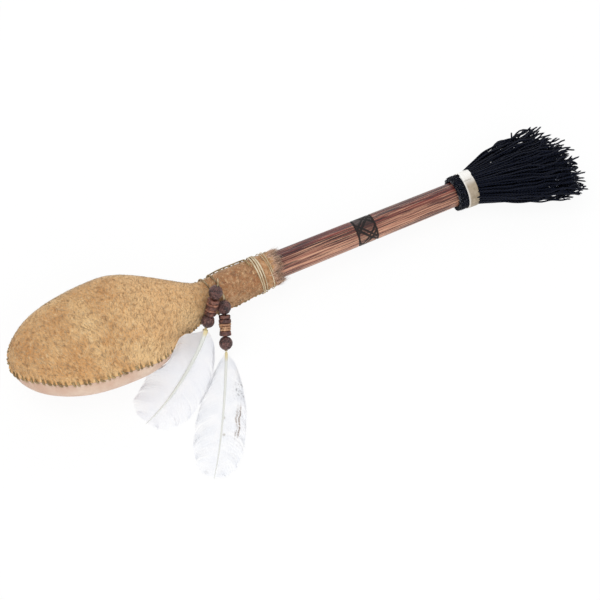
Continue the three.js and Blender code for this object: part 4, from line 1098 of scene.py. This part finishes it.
fold = np.linspace(0, np.pi, 9)
fold_x = FOLD_FRONT + FOLD_DEPTH
out_run, in_run = np.linspace(FOLD_BACK, fold_x, 8), np.linspace(fold_x, FOLD_BACK, 4)
head_x = np.concatenate((out_run[:-1], fold_x - FOLD_DEPTH * np.sin(fold), in_run[1:]))
out_radius = np.where(out_run[:-1] > BAND_START - 0.6, UNDER_BAND, AT_SHOULDER)
head_r = np.concatenate((out_radius, 11.1 + 0.95 * np.cos(fold), np.full(3, OVER_STICK)))
head_turn = 2 * np.pi * (np.arange(FOLDS) + 0.5 * chance.random(FOLDS))[:, None] / FOLDS
at_front = np.exp(-((head_x - FOLD_FRONT) / 4) ** 2)
head_r = head_r + 0.3 * chance.normal(size=(FOLDS, 1)) * at_front
head_turn = head_turn + 0.06 * np.sin(0.5 * head_x + 6 * chance.random((FOLDS, 1)))
head_shift = 1.3 * chance.random((FOLDS, 1)) * at_front
head_path = round_axis(head_x + head_shift, head_r, head_turn)
head_up = round_axis(0, 1, head_turn + np.pi / 2)
head_rings = carry(head_path, head_up, FOLD_RADIUS, FOLD_RADIUS, sides=8)
cord_heads = put_skins("folded_cord_heads", in_handle(head_rings), black_cord, sharp=80)
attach(cord_heads, "rattle")
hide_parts("tassel_cord_heads")

FUZZ, LINT_RADIUS = 3000, 0.1
black_lint = hair_finish("black_lint", 0.75, (22, 23, 28), (134, 138, 148))
fuzz_turn = chance.uniform(0, 2 * np.pi, FUZZ)
fuzz_spoke = round_axis(0, 1, fuzz_turn)
fuzz_out = chance.uniform(10.4, 12.9, (FUZZ, 1))
fuzz_back = chance.uniform(0, 6, (FUZZ, 1)) * smooth(fuzz_out, 11.6, 12.4)
fuzz_root = fuzz_spoke * fuzz_out + (FOLD_FRONT + 0.2 + fuzz_back) * (1.0, 0, 0)
fuzz_lie = unit(fuzz_spoke * 0.4 - (0.4, 0, 0) + 0.7 * chance.normal(size=(FUZZ, 3)))
fuzz_length = chance.uniform(0.5, 1.3, FUZZ)
fuzz_tone = chance.random(FUZZ)
fuzz = put_hairs("cord_lint", in_handle(fuzz_root), fuzz_lie, fuzz_length, LINT_RADIUS, black_lint, fuzz_tone)
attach(fuzz, "rattle")


# Band. A strip of wet rawhide was pulled round the folded cords, lapped over its own start, and shrank on.
# It dried cream and mottled, with a crease round it and a cut corner at the lap.
STRIP_TURN, LAP_FROM, LAP_TO, CUT_FROM = 386, 334, 353.5, 366
STRIP_HALF, LAP_LIFT, CREASE_X = 0.5, 1.4, 281.2

band_turn = np.linspace(0, STRIP_TURN, 260)
band_angle = np.radians(band_turn + 70)
band_way = np.stack((band_turn, band_turn, band_turn), -1)
start_wave = 0.35 * np.sin(2 * band_angle + 0.6) * (band_turn / STRIP_TURN)
start_side = BAND_START + start_wave + 0.25 * lumps(band_way + 50, 17)
end_side = BAND_END - 0.3 * lumps(band_way + 400, 13) - 1.5 * smooth(band_turn, CUT_FROM, STRIP_TURN)
band_oval = np.linspace(0, 2 * np.pi, 28, endpoint=False)
wide, high = squared_off(np.cos(band_oval), 0.35), squared_off(np.sin(band_oval), 0.6)
band_x = (start_side + end_side)[:, None] / 2 + (end_side - start_side)[:, None] / 2 * wide
round_band = np.broadcast_to(band_angle[:, None], band_x.shape)
crease = np.exp(-((band_x - CREASE_X - 0.8 * np.sin(3 * round_band)) / 0.9) ** 2)
wrinkles = lumps(round_axis(band_x, 3, round_band) + 70, 1.4) - 0.5
band_lift = 0.55 + LAP_LIFT * smooth(band_turn, LAP_FROM, LAP_TO)[:, None]
band_r = BAND_INSIDE + band_lift + STRIP_HALF * high + (0.14 * wrinkles - 0.22 * crease) * np.maximum(high, 0)
band_rings = round_axis(band_x, band_r, round_band)

rawhide = Finish("rawhide", Coat_Weight=0.1)
hide_mottle = rawhide.noise(230, roughness=0.6)
hide_grain = rawhide.noise((1300, 300, 300), detail=3)
rawhide_colour = rawhide.stains_and_painted_light(
    rawhide.toned(hide_mottle, 0.32, 0.68, (138, 122, 100), (168, 153, 132)),
    (hide_grain.ramp(0.58, 0.75) * 0.35, (168, 140, 106)),
    # painted light: the far, upper side is painted near white; the darker cream under it on the near side is
    # partly the strip's colour and partly painted shade
    (rawhide.trait("far").ramp(0.72, 0.97) * 0.85, (250, 249, 246)),
    # painted highlight: a white line along the band's front edge
    (rawhide.trait("front") * 0.6, (252, 251, 248)))
rawhide.feed(Base_Color=rawhide_colour, Roughness=0.4 + hide_mottle * 0.3,
             Normal=rawhide.bump(hide_mottle * 0.6 + hide_grain * 0.5, 0.0004))
# front: the band's front edge, for its painted highlight; far: how much it faces the far upper side, for its
# painted light
band_traits = {"front": np.exp(-((band_x - start_side[:, None]) / 0.9) ** 2),
               "far": 0.5 + 0.5 * np.cos(round_band - math.radians(55))}
band = put_skins("rawhide_band", in_handle(band_rings)[None], rawhide, band_traits)
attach(band, "rattle")
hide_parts("tassel_band")


# Tassel. Some three hundred black twisted cords leave the band and fan out to a ragged end on the table,
# the far side trimmed shorter, with frayed tips, a few stray curls and some looped ends.
CORDS, CORD_STEPS, CORD_RADIUS, CORD_LENGTH = 300, 28, 0.68, 80
MOUTH_X, HIDDEN_RUN = 284.9, 4.5
FAN_WIDE, FAN_HIGH, FAN_SIDE, FAN_LIFT = 29.5, 2.5, -12, 4
TIP_HAIRS, TIP_RADIUS = 4, 0.2


def strand_paths(radius, angle, length, steps):
    """Each cord keeps its place in the bundle while the fan's half width and half height grow along it; cords
    of both sides bow out early, and every cord wanders a little more towards its end. The near ones are drawn
    in again, a few far ones are cut short and loose, some stray further, and some hook back at their end."""
    u = (radius / BAND_INSIDE * np.cos(angle))[:, None]
    v = (radius / BAND_INSIDE * np.sin(angle))[:, None]
    s = np.linspace(0, 1, steps)
    fan = s ** 1.2
    each = (len(radius), 1)
    on_far, on_near = smooth(u, 0.3, 0.95), smooth(-u, 0.35, 0.95)
    loose = (chance.random(each) < 0.3) * smooth(u, 0.6, 0.85)
    trim = 0.16 * smooth(u, -0.4, 1) - 0.03 * smooth(-u, 0.45, 0.95) + 0.3 * loose * chance.random(each)
    full = length[:, None] * (1 - trim)
    fan_off = (u * FAN_WIDE + FAN_SIDE) ** 2 + (v * FAN_HIGH + FAN_LIFT) ** 2
    reach = np.sqrt(np.maximum(full ** 2 - fan_off, 100))
    bow = np.sin(np.pi * np.clip(s / 0.9, 0, 1)) ** 1.2 * (5.0 * on_far - 2.2 * on_near)
    phase = 6.3 * chance.random((len(radius), 4, 1))
    stray = np.where(chance.random(each) < 0.14, 2.6, 1.15)
    hooked = (chance.random(each) < 0.13) * smooth(-u, -0.1, 0.35) * smooth(u, -0.95, -0.75)
    drift = 1.6 * (s ** 1.4 * stray + 2.2 * loose * s ** 2.2)
    wander = drift * np.sin(6 * s + phase[:, 0]) + 0.55 * drift * np.sin(24 * s + phase[:, 1])
    drawn_in = 7 * smooth(-u, 0.3, 0.95) * smooth(s, 0.45, 1)
    drawn_in = drawn_in + 5 * loose * s ** 3 + 5 * hooked * smooth(s, 0.7, 1)
    y = u * (BAND_INSIDE + FAN_WIDE * fan) + FAN_SIDE * fan + bow + wander + drawn_in
    z = v * (BAND_INSIDE + FAN_HIGH * s) + FAN_LIFT * s + 0.8 * drift * np.sin(9 * s + phase[:, 2])
    run = s + hooked * (np.sin(0.7 * np.pi * s) - s)
    x = MOUTH_X - HIDDEN_RUN + (reach + HIDDEN_RUN) * run + 0 * v
    return np.stack((x, y, z), -1)


def on_table(points):
    """Cords lie on the table: points lower than a cord's radius are lifted to it."""
    points[..., 2] = np.maximum(points[..., 2], CORD_RADIUS + 0.1)
    return points


sown = np.arange(CORDS)
sown_radius = 11.6 * np.sqrt((sown + 0.5) / CORDS)
sown_angle = (sown * np.pi * (3 - math.sqrt(5))) % (2 * np.pi)
sown_quarter = np.floor(sown_angle / (np.pi / 2) + 0.5).astype(int) % 4
for quarter, name in enumerate(("far", "upper", "near", "lower")):
    mine = np.flatnonzero(sown_quarter == quarter)
    length = CORD_LENGTH * chance.uniform(0.89, 1.03, len(mine))
    paths = on_table(in_handle(strand_paths(sown_radius[mine], sown_angle[mine], length, CORD_STEPS)))
    taper = CORD_RADIUS * (1 - 0.15 * smooth(np.linspace(0, 1, CORD_STEPS), 0.94, 1))
    rings = carry(paths, (0.0, 0.0, 1.0), np.broadcast_to(taper, (len(mine), CORD_STEPS)), taper, sides=6)
    cords = put_skins(f"tassel_cords_{name}_side", rings, black_cord, sharp=80)
    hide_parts(f"tassel_cords_{name}")
    tips = np.repeat(paths[:, -1], TIP_HAIRS, axis=0)
    tip_lie = np.repeat(unit(paths[:, -1] - paths[:, -3]), TIP_HAIRS, axis=0)
    tip_lie = unit(tip_lie + 0.45 * chance.normal(size=tips.shape))
    tip_length = chance.uniform(0.5, 1.5, len(tips))
    tip_tone = chance.random(len(tips))
    frayed = put_hairs(f"frayed_tips_{name}", tips, tip_lie, tip_length, TIP_RADIUS, black_lint, tip_tone)
    for piece in (cords, frayed):
        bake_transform(piece)
